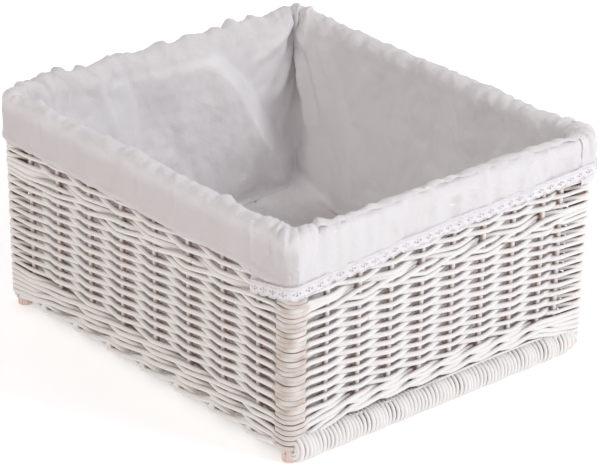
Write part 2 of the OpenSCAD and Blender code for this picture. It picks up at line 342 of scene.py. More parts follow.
def painted_willow_material(name, coverage):
    """Thin white paint on willow. coverage is a socket maker that says where the paint is, from 0 to 1."""
    mat, nt, bsdf = new_material(name)
    cover = coverage(nt)
    coarse = object_noise(nt, 55.0, 3.0)
    fine = object_noise(nt, 420.0, 5.0)
    # The paint thins out unevenly towards the places that the brush didn't reach.
    uneven = math_node(nt, "MULTIPLY", math_node(nt, "SUBTRACT", fine, 0.5), 0.55)
    worn = ramp(nt, math_node(nt, "ADD", cover, uneven), [(0.12, BLACK), (0.42, WHITE)])
    wood = mix(nt, coarse, WOOD_BROWN, WOOD_TAN)
    white = mix(nt, coarse, PAINT_SHADE, PAINT_WHITE)
    white = mix(nt, 0.55, white, PAINT_WHITE)
    nicks = ramp(nt, object_noise(nt, 95.0, 6.0, roughness=0.7), [(0.30, WHITE), (0.335, BLACK)])
    colour = mix(nt, worn, wood, white)
    colour = mix(nt, math_node(nt, "MULTIPLY", nicks, 0.7), colour, WOOD_TAN)
    # Streaky darkening from an attribute on the mesh: partly stains, partly painted shade that dims the
    # corner columns pressed tight round the posts.
    streaks = object_noise(nt, 120.0, 5.0, stretch=(1, 1, 3.0))
    dirt_and_shade_amount = math_node(nt, "MULTIPLY", attribute(nt, "grime"), math_node(nt, "ADD", streaks, 0.25))
    nt.links.new(mix(nt, dirt_and_shade_amount, colour, DIRT_AND_SHADE), bsdf.inputs["Base Color"])
    nt.links.new(ramp(nt, fine, [(0.3, grey(0.42)), (0.7, grey(0.58))]), bsdf.inputs["Roughness"])
    bsdf.inputs["Specular IOR Level"].default_value = 0.35
    bump(nt, fine, 0.25, 0.0004, bsdf)
    return mat


def from_attribute(nt):
    """The rods carry their own paint cover."""
    return attribute(nt, "paint")


def stake_cover(axis):
    """Stakes took paint where the spray could reach them: not on the sides along the wall."""
    def make(nt):
        geometry = nt.nodes.new("ShaderNodeNewGeometry")
        split = nt.nodes.new("ShaderNodeSeparateXYZ")
        nt.links.new(geometry.outputs["Normal"], split.inputs["Vector"])
        sideways = math_node(nt, "ABSOLUTE", split.outputs[axis])
        return math_node(nt, "SUBTRACT", 1.08, sideways)
    return make


def bare_wood_material():
    """Unpainted sticks: pale at the sawn feet, with darker skin above them."""
    mat, nt, bsdf = new_material("bare_wood")
    grain = object_noise(nt, 60.0, 6.0, stretch=(6, 6, 0.8))
    fine = object_noise(nt, 500.0, 3.0, stretch=(3, 3, 0.5))
    colour = ramp(nt, grain, [(0.25, BARE_DARK), (0.45, BARE_MIDDLE), (0.75, BARE_PALE)])
    skin = height_ramp(nt, object_height(nt), [(16 * MM, BLACK), (24 * MM, WHITE)])
    colour = mix(nt, skin, colour, mix(nt, grain, SKIN_DARK, SKIN_PALE))
    nt.links.new(colour, bsdf.inputs["Base Color"])
    bsdf.inputs["Roughness"].default_value = 0.6
    bump(nt, fine, 0.35, 0.0005, bsdf)
    return mat


def half_painted(nt):
    """The ends of the base sticks took only some of the paint."""
    return math_node(nt, "ADD", math_node(nt, "MULTIPLY", object_noise(nt, 30.0, 2.0), 0.8), 0.02)


def nail_material():
    """Dull wire nails."""
    mat, nt, bsdf = new_material("nail_steel")
    tarnish = object_noise(nt, 900.0, 3.0)
    nt.links.new(ramp(nt, tarnish, [(0.3, STEEL_DARK), (0.7, STEEL_PALE)]), bsdf.inputs["Base Color"])
    bsdf.inputs["Metallic"].default_value = 1.0
    nt.links.new(ramp(nt, tarnish, [(0.3, grey(0.6)), (0.7, grey(0.35))]), bsdf.inputs["Roughness"])
    return mat


def cotton_material(name, tint):
    """Washed plain cotton that lets some light through."""
    mat, nt, bsdf = new_material(name)
    broad = object_noise(nt, 14.0, 3.0)
    fine = object_noise(nt, 240.0, 4.0)
    shade = mix(nt, broad, darker(tint, 0.93), tint)
    shade = mix(nt, math_node(nt, "MULTIPLY", fine, 0.35), shade, darker(tint, 0.95))
    # Painted shade: the bottom of the bag is coloured greyer and darker, unevenly up its lower edge, for the
    # shade deep inside the basket.
    height_in = math_node(nt, "ADD", object_height(nt), math_node(nt, "MULTIPLY", broad, 12 * MM))
    floor_shade = height_ramp(nt, height_in, [(34 * MM, grey(0.62)), (42 * MM, BLACK)])
    shade = mix(nt, floor_shade, shade, COTTON_FLOOR_SHADE)
    smudge = ramp(nt, object_noise(nt, 19.0, 4.0, roughness=0.62), [(0.56, BLACK), (0.72, grey(0.22))])
    shade = mix(nt, smudge, shade, COTTON_SMUDGE)
    # Painted shade: the rim and the outer cuffs are coloured darker and yellower than the inside, most of all
    # on the left, which the lights reach least.
    outside_shade_tint = darker(tint, 0.70, 0.675, 0.67)
    nt.links.new(mix(nt, attribute(nt, "handled"), shade, outside_shade_tint), bsdf.inputs["Base Color"])
    bsdf.inputs["Roughness"].default_value = 0.88
    bsdf.inputs["Specular IOR Level"].default_value = 0.18
    bsdf.inputs["Sheen Weight"].default_value = 0.12
    bsdf.inputs["Sheen Roughness"].default_value = 0.5
    coord = nt.nodes.new("ShaderNodeTexCoord")
    threads = []
    for direction in ("Z", "DIAGONAL"):
        thread = add_node(nt, "ShaderNodeTexWave", Scale=260.0, Distortion=0.6, Detail=1.0,
                          _bands_direction=direction)
        nt.links.new(coord.outputs["Object"], thread.inputs["Vector"])
        threads.append(thread.outputs["Fac"])
    cloth = math_node(nt, "MULTIPLY", math_node(nt, "ADD", *threads), 0.2)
    crease = math_node(nt, "MULTIPLY", object_noise(nt, 34.0, 3.0, stretch=(1, 1, 0.4), roughness=0.5), 9.0)
    # Sharp creases lie where a slow noise crosses its middle value.
    slow = object_noise(nt, 30.0, 2.5, stretch=(1, 1, 0.7), roughness=0.6)
    line = math_node(nt, "ABSOLUTE", math_node(nt, "SUBTRACT", slow, 0.5))
    line = math_node(nt, "MINIMUM", math_node(nt, "MULTIPLY", line, 14.0), 1.0)
    creased = math_node(nt, "ADD", crease, math_node(nt, "MULTIPLY", line, 0.5))
    bump(nt, math_node(nt, "ADD", cloth, creased), 0.75, 0.0006, bsdf)
    through = add_node(nt, "ShaderNodeBsdfTranslucent", Color=(*COTTON_THROUGH, 1))
    both = add_node(nt, "ShaderNodeMixShader", Fac=0.22)
    nt.links.new(bsdf.outputs["BSDF"], both.inputs[1])
    nt.links.new(through.outputs["BSDF"], both.inputs[2])
    nt.links.new(both.outputs["Shader"], nt.nodes["Material Output"].inputs["Surface"])
    return mat


willow = painted_willow_material("painted_willow", from_attribute)
sticks_paint = painted_willow_material("painted_sticks", half_painted)
bare_wood = bare_wood_material()
nail_steel = nail_material()
cotton = cotton_material("liner_cotton", COTTON)
lace = cotton_material("lace_cotton", COTTON_LACE)


# ---------------------------------------------------------------- woven walls

WALE_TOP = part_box("lower_wale_front")[1].z
UPPER_WALE_LOW, UPPER_WALE_TOP = (corner.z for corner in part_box("upper_wale_front"))
WRAP_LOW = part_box("corner_wrap_front_left")[0].z
LOWER_WALE_R, UPPER_WALE_R = 2.2 * MM, 2.1 * MM
LOWER_ROWS, UPPER_ROWS = 20, 11
ROD_STEP = 3.6 * MM


def wide_end(wall):
    """Each wall has one extra stake beside the post at its wide end, which every rod passes outside."""
    return 1 if wall in (FRONT, RIGHT) else -1


def regular(wall):
    xs = STAKES[wall]
    return xs[:-1] if wide_end(wall) > 0 else xs[1:]


def rising(wall, x):
    """0 beside the posts and 1 along the middle of a wall."""
    return smoothstep(HALF[wall] - np.abs(x), 4 * MM, 48 * MM)


def bottom_line(wall, x):
    """Underside of the weave: on the front and back it rises over the wrapped rails."""
    middle = 27.5 if wall in (FRONT, BACK) else 21.0
    return WRAP_LOW + (middle * MM - WRAP_LOW) * rising(wall, x)


def wale_line(wall, x):
    """Where the lower wale ends and the siding begins."""
    return WALE_TOP + (2.0 * MM if wall in (FRONT, BACK) else 0.5 * MM) * rising(wall, x) - 2 * MM


ARC_STEPS = 9


def ring_path(side_of, height_of, rod_r, wander=0.0, seed=0, end_side=None):
    """A rod's line round the basket.

    side_of(n) is +1 where the rod passes outside regular stake n and -1 where it passes inside.
    height_of(n, wall, x, post) is its height there. Posts are always passed outside, and so are the end
    stakes unless end_side(n) says otherwise. Returns five things for each point: its place, its outward
    offset, its share of the way round, its outward direction, and from 0 to 1 how far it is past the wall's
    end stake.
    """
    rows = []
    n = 0
    at_post = POST_R + rod_r - POST_INSET
    for wall in range(4):
        wide = wide_end(wall)
        lines = [(-HALF[wall], at_post, height_of(n - 0.5, wall, -HALF[wall], True))]
        ends = set(STAKES[wall]) - set(regular(wall))
        for x in STAKES[wall]:
            if x in ends:
                side = end_side(n if wide > 0 else n - 1) if end_side else 1.0
                lines.append((x, side * (STAKE_R + rod_r + 0.4 * MM), height_of(n - 0.5, wall, x, True)))
            else:
                lines.append((x, side_of(n) * (STAKE_R + rod_r) * 0.98, height_of(n, wall, x, False)))
                n += 1
        lines.append((HALF[wall], at_post, height_of(n - 0.5, wall, HALF[wall], True)))
        # At the narrow end a rod hugs the post and then turns in sharply.
        end = 0 if wide > 0 else -1
        near = 1 if wide > 0 else -2
        (xp, op, zp), (_, os_, zs) = lines[end], lines[near]
        knees = [(xp + wide * 6.5 * MM, op - 0.1 * MM, zp),
                 (xp + wide * 12.5 * MM, op + (os_ - op) * 0.42 - 1.5 * MM, zp + (zs - zp) * 0.3)]
        lines = lines[:1] + knees + lines[1:] if wide > 0 else lines[:-1] + knees[::-1] + lines[-1:]
        for (x0, o0, z0), (x1, o1, z1) in zip(lines, lines[1:]):
            steps = max(3, int(round((x1 - x0) / ROD_STEP)))
            t = np.arange(steps) / steps
            bend = 0.5 - 0.5 * np.cos(np.pi * t)
            s = 0.62 * t + 0.38 * bend
            z = z0 + (z1 - z0) * (0.5 * t + 0.5 * bend)
            rows.append(np.stack([np.full(steps, wall), x0 + (x1 - x0) * t, o0 + (o1 - o0) * s, z,
                                  np.full(steps, -1.0)], axis=1))
        x, out, z = lines[-1]
        z_next = height_of(n - 0.5, (wall + 1) % 4, -HALF[(wall + 1) % 4], True)
        t = np.arange(ARC_STEPS) / ARC_STEPS
        rows.append(np.stack([np.full(ARC_STEPS, wall), np.full(ARC_STEPS, x), np.full(ARC_STEPS, out),
                              z + (z_next - z) * t, t], axis=1))
    table = np.concatenate(rows)
    loop = np.arange(len(table)) / len(table)
    z = table[:, 3] + wander * wave(loop, seed, 6, 9)
    out = table[:, 2]
    points, normals = np.zeros((len(table), 3)), np.zeros((len(table), 3))
    for wall in range(4):
        on = table[:, 0] == wall
        arc = on & (table[:, 4] >= 0)
        flat = on & ~arc
        local = np.stack([table[:, 1] * (1 + lean(z) / HALF[wall]), REACH[wall] + lean(z) + out, z], axis=1)
        points[flat] = to_world(wall, local[flat])
        normals[flat] = to_world(wall, np.array([[0.0, 1.0, 0.0]]))[0]
        turn = np.clip(table[:, 4], 0, 1) * math.pi / 2
        radius = out + POST_INSET
        local = np.stack([HALF[wall] + lean(z) + radius * np.sin(turn),
                          REACH[wall] - POST_INSET + lean(z) + radius * np.cos(turn), z], axis=1)
        points[arc] = to_world(wall, local[arc])
        normals[arc] = to_world(wall, np.stack([np.sin(turn), np.cos(turn), 0 * turn], axis=1)[arc])
    wide = np.array([wide_end(int(w)) for w in table[:, 0]])
    ends = np.array([max(STAKES[w] * wide_end(w)) for w in range(4)])[table[:, 0].astype(int)]
    beyond = smoothstep(table[:, 1] * wide, ends - 8 * MM, ends) * (table[:, 4] < 0)
    return points, out, loop, normals, beyond


def weave_paint(out, normals, tight):
    """Sprayed from outside: the paint is thin behind the stakes and on inward faces. Between rods, where they
    touch, the brown is partly bare wood and partly painted shade.
    """
    def shade(_, ring):
        facing = (ring * normals[:, None]).sum(axis=2)
        depth = smoothstep(out, -5 * MM, 0.5 * MM)[:, None]
        cover = smoothstep(facing + 0.35 * depth, -0.55, 0.05)
        # Partly bare wood, partly painted shade: the rods' upper and under sides go brown as dark lines
        # between rods, darker still where they are pressed tight.
        crevice = smoothstep(np.abs(ring[:, :, 2]), 0.72 - 0.17 * tight[:, None], 1.0)
        return np.clip(cover * (0.6 + 0.4 * depth) - (0.66 + 0.3 * tight[:, None]) * crevice, 0, 1)
    return shade


STAKE_TOTAL = sum(len(regular(w)) for w in range(4))


def siding(tubes, rows, low, high, seed, loose=0.0, sag=None):
    """Single rods that pass outside one stake and inside the next, packed row on row."""
    r = np.random.RandomState(seed)
    for row in range(rows):
        share = (row + 0.5) / rows
        radius = ROD_R * (1 + 0.09 * r.uniform(-1, 1))
        heights = {}

        def height_of(n, wall, x, post):
            key = (round(2 * n) % (2 * STAKE_TOTAL), post)
            if key not in heights:
                heights[key] = (0.25 * MM + loose) * r.uniform(-1, 1)
            lift = heights[key]
            turned = 1 if row % 2 == 0 else -1
            if post and np.sign(x) == wide_end(wall):
                # Beside the end stakes the rods close up in pairs, with the post showing between them.
                close = 1.95 if abs(x) < HALF[wall] - 1 * MM else 1.0
                lift += turned * close * (1 + 0.2 * math.sin(row * 1.9 + wall)) * MM
            elif post:
                lift += 0.3 * MM * math.sin(row * 2.35 + wall * 1.7 + seed)
            base = low(wall, x) + (high(wall, x) - low(wall, x)) * share + lift
            return base + (sag(wall, x, share) if sag else 0.0)

        def side_of(n):
            return 1 if (n + row) % 2 == 0 else -1

        points, out, loop, normals, beyond = ring_path(side_of, height_of, radius, wander=0.3 * MM,
                                                       seed=seed * 97 + row, end_side=side_of)
        size = radius * (1 + 0.08 * wave(loop, seed * 31 + row, 3, 2)) * (1 - 0.16 * beyond)
        tight = pressed(points)
        # Pressed tight round the posts, the rods are darkened: partly stains, partly painted shade on those
        # corner columns.
        tubes.add(points, size, closed=True, paint=weave_paint(out, normals, tight), flat=tight,
                  grime=tight * (0.74 + 0.3 * wave(loop, seed * 5 + row, 3, 30)))


def pressed(points):
    """1 where a rod is wrapped tight round the front left or back right post."""
    gap_left = np.hypot(points[:, 0] + HALF[FRONT], points[:, 1] + HALF[RIGHT])
    gap_right = np.hypot(points[:, 0] - HALF[FRONT], points[:, 1] - HALF[RIGHT])
    return 1 - smoothstep(np.minimum(gap_left, gap_right), 10 * MM, 15 * MM)


def wale(tubes, low, high, rod_r, seed):
    """Three rods twined together: each passes outside two stakes and inside the third."""
    for rod in range(3):
        def height_of(n, wall, x, post):
            mid, half = (high(wall, x) + low(wall, x)) / 2, (high(wall, x) - low(wall, x)) / 4
            if post:
                return mid + (-1.33, 0.0, 1.33)[(math.floor(n) - rod) % 3] * half
            return mid + (0.0, -1.15, 1.15)[(n - rod) % 3] * half

        def side_of(n):
            return -1 if (n - rod) % 3 == 0 else 1

        points, out, loop, normals, _ = ring_path(side_of, height_of, rod_r, wander=0.25 * MM,
                                                  seed=seed * 7 + rod)
        tight = pressed(points)
        # Pressed tight round the posts, the rods are darkened: partly stains, partly painted shade on those
        # corner columns.
        tubes.add(points, rod_r * (1 + 0.07 * wave(loop, seed * 13 + rod, 3, 2)), closed=True,
                  paint=weave_paint(out, normals, tight), flat=tight, grime=0.6 * tight)


def part_way(low, high, share):
    """A height line at a share of the way from one line to another."""
    return lambda wall, x: low(wall, x) + (high(wall, x) - low(wall, x)) * share


def level(z):
    """A height line that is level."""
    return lambda *_: z


def lifted_rows(wall, x, share):
    """Under the lace, the front's upper rows climb to the right and leave one open place."""
    if wall != FRONT:
        return 0.0
    middle = math.exp(-((x - 0.035) / 0.045) ** 2)
    return (4.6 * middle * (0.25 - share) * 2.0 + 1.8 * (x / 0.15) * (1 - share)) * MM


def woven_walls():
    """The four bands between the base and the border, each running round all four walls."""
    bands = {name: Tubes() for name in ("lower_wale", "lower_siding", "upper_wale", "upper_siding")}
    halfway = part_way(bottom_line, wale_line, 0.5)
    wale(bands["lower_wale"], bottom_line, halfway, LOWER_WALE_R, 3)
    wale(bands["lower_wale"], halfway, wale_line, LOWER_WALE_R, 4)
    siding(bands["lower_siding"], LOWER_ROWS, wale_line, level(UPPER_WALE_LOW), 5)
    wale(bands["upper_wale"], level(UPPER_WALE_LOW), level(UPPER_WALE_TOP), UPPER_WALE_R, 8)
    siding(bands["upper_wale"], 1, level(UPPER_WALE_TOP - 4 * MM), level(UPPER_WALE_TOP), 6)
    siding(bands["upper_siding"], UPPER_ROWS, level(UPPER_WALE_TOP), level(border_low.z), 9,
           loose=0.5 * MM, sag=lifted_rows)
    made = [(tubes.build("woven_" + band, willow, "painted_willow"), band) for band, tubes in bands.items()]
    for ob, band in made:
        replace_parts(ob, *[f"{band}_{name}" for name in WALL_NAMES])
    # The lower siding also stands for the corner wraps.
    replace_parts(made[1][0], *[f"corner_wrap_{name}"
                              for name in ("front_left", "front_right", "back_right", "back_left")])


woven_walls()


# ---------------------------------------------------------------- plaited border

def rim_border():
    """Four thick strands laid round each other like a rope along the top of the walls."""
    low, high = border_low.z, border_high.z
    middle, half = (low + high) / 2, (high - low) / 2
    tubes = Tubes()
    strand_r, strands, twist_length = 2.7 * MM, 4, 58 * MM
    points, out, _, normals, _ = ring_path(lambda _: 0.0, lambda *_: middle, 0.0)
    points = points + normals * (-0.5 * MM - out[:, None] * 0.35)
    length = np.concatenate([[0], np.cumsum(np.linalg.norm(np.diff(points, axis=0), axis=1))])
    total = length[-1] + np.linalg.norm(points[0] - points[-1])
    fine = np.arange(0, total, 4 * MM)

    def evenly(rows):
        closed = np.append(rows, rows[:1], axis=0)
        return np.stack([np.interp(fine, np.append(length, total), closed[:, k]) for k in range(3)], axis=1)

    line, outward = evenly(points), evenly(normals)
    turns = round(total / twist_length)

    def paint(_, ring):
        return smoothstep((ring * outward[:, None]).sum(axis=2) + ring[:, :, 2], -0.8, 0.1)

    for k in range(strands):
        angle = TAU * (turns * fine / total + k / strands)
        path = line + outward * (np.cos(angle) * (half - strand_r) * 0.95)[:, None]
        path[:, 2] += np.sin(angle) * (half - strand_r)
        tubes.add(path, strand_r, closed=True, paint=paint)
    ob = tubes.build("plaited_border", willow, "painted_willow")
    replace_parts(ob, *["rim_border_" + name for name in WALL_NAMES])
    return line, half


BORDER_LINE, BORDER_R = rim_border()


# ---------------------------------------------------------------- base

RAIL_LOW, RAIL_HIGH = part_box("base_rail_front")
RAIL_R, RAIL_Z = (RAIL_HIGH.z - RAIL_LOW.z) / 2, (RAIL_HIGH.z + RAIL_LOW.z) / 2
RAIL_Y = -(RAIL_HIGH.y + RAIL_LOW.y) / 2
STICK_LOW, STICK_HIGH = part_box("base_sticks")
STICK_R, STICK_Z = (STICK_HIGH.z - STICK_LOW.z) / 2, (STICK_HIGH.z + STICK_LOW.z) / 2
STICK_COUNT = 7
STICKS = np.linspace(STICK_LOW.y + STICK_R, STICK_HIGH.y - STICK_R, STICK_COUNT)
WRAP_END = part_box("rail_wrap_front")[1].x
WRAP_START = -WRAP_END - 13.6 * MM
WRAP_R = 1.88 * MM
WRAP_TURNS = 77
EDGE_R = 2.2 * MM
HALF_TURN_STEPS = 26


def rail_turn(x, side, turn, theta):
    """Part of a turn round a rail, seen along it; side is -1 at the front and 1 at the back."""
    return np.stack([np.broadcast_to(x, theta.shape), side * (RAIL_Y + turn * np.cos(theta)),
                     RAIL_Z + turn * np.sin(theta)], axis=1)


def mat_weaver(x, number):
    """One weaver of the base, over and under the base sticks from rail to rail."""
    ys = [-RAIL_Y + 1 * MM, *STICKS, RAIL_Y - 1 * MM]
    at_rail = RAIL_Z + RAIL_R + WRAP_R
    over = [1 if (j + number) % 2 else -1 for j in range(STICK_COUNT)]
    zs = [at_rail, *[STICK_Z + o * (STICK_R + WRAP_R) for o in over], at_rail]
    path = []
    for (y0, z0), (y1, z1) in zip(zip(ys, zs), zip(ys[1:], zs[1:])):
        t = np.arange(8) / 8
        s = 0.5 * t + 0.5 * (0.5 - 0.5 * np.cos(np.pi * t))
        path.append(np.stack([np.full(8, x), y0 + (y1 - y0) * t, z0 + (z1 - z0) * s], axis=1))
    path.append([[x, ys[-1], zs[-1]]])
    return np.concatenate(path)


def wrapped_rails():
    """The weavers of the base turn round the front and back rails as tight rolls."""
    wraps, mat = {-1: Tubes(), 1: Tubes()}, Tubes()
    jitter = np.random.RandomState(4)
    theta = np.radians(np.linspace(-110, 95, HALF_TURN_STEPS))
    # Where the stakes go down beside the rail they push the weavers apart into groups.
    edges = [WRAP_START, *STAKES[FRONT], WRAP_END]

    def paint(_, q):
        # Painted shade: the sides of each turn, where it meets the next, are coloured brown as dark lines
        # between the turns.
        return 1 - 0.8 * smoothstep(np.abs(q[:, :, 0]), 0.7, 1.0)

    for i, x in enumerate(np.linspace(WRAP_START + WRAP_R, WRAP_END - WRAP_R, WRAP_TURNS)):
        k = int(np.clip(np.searchsorted(edges, x) - 1, 0, len(edges) - 2))
        t = (x - edges[k]) / max(edges[k + 1] - edges[k], 8 * MM)
        x = x + (0.9 * MM) * math.sin(TAU * (t - 0.5)) * -0.55
        bulge = 0.9 * MM * math.sin(math.pi * np.clip(t, 0, 1)) ** 0.7
        turn = RAIL_R + WRAP_R + bulge
        rod_r = WRAP_R * (1 + 0.1 * jitter.uniform(-1, 1))
        for side, tubes in wraps.items():
            ring = rail_turn(x + 0.5 * MM * np.sin(theta * 1.3 + i), side, turn, theta)
            # The rolls stay clear of the ground that the feet stand on.
            ring[:, 2] = np.maximum(ring[:, 2], rod_r + 0.3 * MM)
            tubes.add(ring, rod_r, sides=9, up=(1, 0, 0), paint=paint)
        mat.add(mat_weaver(x, i), WRAP_R, sides=7, up=(1, 0, 0))
    for side, tubes in wraps.items():
        wrap_trimmings(tubes, side)
    for side, name in ((-1, "front"), (1, "back")):
        ob = wraps[side].build("wrapping_" + name, willow, "painted_willow")
        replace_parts(ob, "rail_wrap_" + name)
    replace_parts(mat.build("base_mat", willow, "painted_willow"), "base_weave")


def wrap_trimmings(tubes, side):
    """A thin rod along the top of the turns, turns that close over the rail's end, and the loose ends."""
    t = np.linspace(-1, 1, 60)
    line = np.stack([t * (WRAP_END + 4 * MM), np.full(60, side * (REACH[FRONT] + 3.5 * MM)),
                     WRAP_LOW + 11.8 * MM + 1.3 * MM * np.sin(3 * t) - 1.5 * MM * t ** 4], axis=1)
    tubes.add(line, 1.2 * MM, sides=8)
    theta = np.radians(np.linspace(-105, 105, HALF_TURN_STEPS))
    for inward, depth in ((0.3 * MM, 0.4 * MM), (0.7 * MM, 3.6 * MM)):
        tubes.add(rail_turn(WRAP_START + inward, side, RAIL_R - depth, theta), WRAP_R, sides=9, up=(1, 0, 0))
    for k, (dx, tilt) in enumerate(((1.8, 0.1), (5.0, 0.16), (8.0, 0.2))):
        a = np.linspace(0, 1, 8)
        line = np.stack([WRAP_END + (dx + 24 * tilt * a) * MM,
                         side * (REACH[FRONT] + (5 + 3 * np.sin(2.5 * a)) * MM),
                         WRAP_LOW + (10.5 - k) * MM - a * (16 - 2.5 * k) * MM], axis=1)
        tubes.add(line, (1.9 - 0.1 * k) * MM, sides=8, up=(1, 0, 0))


def twined_edges():
    """Pairs of rods that cross between the ends of the base sticks, at the left and the right."""
    edge_low, edge_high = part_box("base_edge_right")
    edge_x = (edge_low.x + edge_high.x) / 2
    y = np.linspace(-edge_high.y - 3 * MM, edge_high.y + 3 * MM, 220)
    gap = STICKS[1] - STICKS[0]
    phase = np.interp(y, [STICKS[0] - gap, *STICKS, STICKS[-1] + gap], np.arange(STICK_COUNT + 2)) * math.pi
    layers = ((0.0, -0.6 * MM, 3.6 * MM), (0.45, 1.6 * MM, 1.4 * MM), (-0.4, 1.2 * MM, -2.6 * MM))

    def paint(_, ring):
        # Where the rods touch above and below they go brown: partly bare wood, partly painted shade between
        # rods.
        return 1 - 0.6 * smoothstep(np.abs(ring[:, :, 2]), 0.85, 1.0)

    for sx, name in ((-1, "left"), (1, "right")):
        tubes = Tubes()
        for sign in (-1, 1):
            for lag, layer, depth in layers:
                # A zigzag rounded where it passes over or under a stick.
                swing = np.arcsin(0.97 * np.cos(phase + lag * 0.35)) / math.asin(0.97)
                z = STICK_Z + sign * swing * (STICK_R + layer) + 1.6 * MM
                z = np.maximum(z, edge_low.z + 2.1 * MM)
                x = edge_x + depth + 1.6 * MM * np.sin(phase + lag) * sign
                size = EDGE_R * (1 + 0.08 * wave(np.linspace(0, 1, 220), 5 + int(lag * 10), 3, 2))
                tubes.add(np.stack([sx * x, y, z], axis=1), size, sides=9, paint=paint)
        ob = tubes.build("twined_edge_" + name, willow, "painted_willow")
        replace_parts(ob, "base_edge_" + name)


wrapped_rails()
twined_edges()


def wear(node, material):
    """A CAD piece that shows as it is takes its Blender material."""
    node.data.materials.clear()
    node.data.materials.append(material)


for wall in range(4):
    along_axis = 0 if wall in (FRONT, BACK) else 1
    cover = painted_willow_material("painted_stake_" + WALL_NAMES[wall], stake_cover(along_axis))
    wear(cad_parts["stakes_" + WALL_NAMES[wall]], cover)
for name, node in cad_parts.items():
    if name.startswith(("corner_post", "base_rail")):
        wear(node, bare_wood)
wear(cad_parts["base_sticks"], sticks_paint)
wear(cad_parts["rail_nails"], nail_steel)


# ---------------------------------------------------------------- liner

BOX_X = stake_x0 + lean(border_high.z)
BOX_Y = stake_y0 + lean(border_high.z)
FLOOR_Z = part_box("liner_floor")[1].z
HEM_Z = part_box("liner_cuff_left")[0].z
INNER_N = -9.6 * MM
RETURN_END = 148.5 * MM
BOX_HALF = np.array([BOX_X, BOX_Y, BOX_X, BOX_Y])
CORNER_R, CUFF_CORNER_R = 7 * MM, 13 * MM
CUFF_TOP = 194.5 * MM
CUFF_N = 8.9
RIM_WEIGHTS = (0.3, 0.6, 0.85, 1, 1, 1, 1, 0.7, 0.35, 0.1)


def between(x, xs, ys):
    """Interpolated value at x, with the places in millimetres."""
    return np.interp(x, np.array(xs) * MM, np.array(ys, float))


def gauss(d, width):
    return np.exp(-(d / width) ** 2)


def along_wall(x):
    """Distance along a wall as a share of a round 0.4 m, for the slow waves."""
    return (x + 0.2) / 0.4


def wall_samples(half, end_step, end_span, step):
    """Places along a wall, close together near its ends, where the cotton is pleated."""
    ends = np.arange(0, end_span, end_step)
    count = max(4, int(round((2 * half - 2 * end_span) / step)))
    middle = np.linspace(end_span, 2 * half - end_span, count)
    return np.concatenate([ends, middle, 2 * half - ends[::-1]]) - half


def loop_columns(end_step, end_span, step, arc):
    """Columns round the rim: wall, place along its straight part as a share, and turn round the corner."""
    walls, shares, turns = [], [], []
    for wall in range(4):
        half = BOX_HALF[wall] - CORNER_R
        x = wall_samples(half, end_step, end_span, step) / half
        walls += [wall] * (len(x) + arc)
        shares += list(x) + [1.0] * arc
        turns += [0.0] * len(x) + list((np.arange(arc) + 1) / (arc + 1))
    return np.array(walls), np.array(shares), np.array(turns)


def place(walls, shares, turns, n, z, radius):
    """World points at offset n outside the wall line at height z, on a rounded rectangle."""
    n, z, radius = (np.broadcast_to(np.asarray(a, float), walls.shape) for a in (n, z, radius))
    shrink = lean(z) - lean(border_high.z)
    out = np.zeros((len(walls), 3))
    for wall in range(4):
        on = walls == wall
        hx = (BOX_HALF[wall] + shrink + n - radius)[on]
        hy = (BOX_HALF[wall - 1] + shrink + n - radius)[on]
        a = turns[on] * math.pi / 2
        along, outward = shares[on] * hx + radius[on] * np.sin(a), hy + radius[on] * np.cos(a)
        out[on] = to_world(wall, np.stack([along, outward, z[on]], axis=1))
    return out


def wall_coordinate(walls, shares):
    """Distance along each wall from its middle."""
    return shares * (BOX_HALF[walls] - CORNER_R)


def fold_line(x, z, zs, xs):
    """Sideways distance from a fold that wanders down a wall."""
    order = np.argsort(zs)
    return x - np.interp(z, np.array(zs)[order] * MM, np.array(xs)[order] * MM)


def hang_back(along, z):
    """The back wall's folds, in millimetres: a pressed crease, a soft step and a tall drape to the right."""
    crease = fold_line(along, z, [24, 71, 114, 156, 200], [25, 20, 15, 10, 4])
    d = 1.3 * gauss(crease, 2.2 * MM)
    soft = fold_line(along, z, [24, 114, 164, 174, 186, 204], [-36, -38, -41, -44, -52, -75])
    d += 4.5 * smoothstep(-soft, -5 * MM, 7 * MM) * np.exp(soft / 0.07 * (soft < 0))
    bright = fold_line(along, z, [24, 139, 158, 202], [-60, -68, -76, -97])
    d += 2.2 * gauss(bright, 6 * MM) * smoothstep(z, 0.11, 0.15)
    ridge = fold_line(along, z, [40, 59, 98, 133, 161, 179, 201], [176, 163, 136, 109, 86, 67, 47])
    left = np.clip(1 + ridge / 0.12, 0, 1)
    right = 0.14 + 0.86 * (1 - smoothstep(ridge, -1 * MM, 6.5 * MM))
    tall = float(between(z, [30, 60, 100, 150, 190, 205], [17, 26, 30, 26, 15, 4]))
    d += tall * np.where(ridge < 0, left, right) + 1.0
    d += between(along, [-160, -97, 51, 95, 145, 158], [0, 0, 1, 3, 6, 3]) * smoothstep(z, 0.14, 0.205)
    return d


def hang_right(x, z):
    """The right wall's slanting fold towards the back corner, and a faint one beside it."""
    fold = fold_line(x, z, [30, 65, 113, 147, 185, 205], [90, 92, 102, 120, 142, 150])
    d = 5.0 * smoothstep(fold, -5 * MM, 8 * MM) * np.exp(-np.maximum(fold, 0) / 0.05) + 1.5
    return d + 2.5 * gauss(fold_line(x, z, [30, 205], [20, 48]), 16 * MM)


HANG = {
    FRONT: lambda x, z: 3.0 * gauss(x + 0.03, 0.05) * smoothstep(z, 0.20, 0.12),
    RIGHT: hang_right,
    BACK: lambda x, z: hang_back(-x, z),
    LEFT: lambda x, z: 3.0 * gauss(x - 0.04, 0.06) * smoothstep(z, 0.20, 0.12),
}


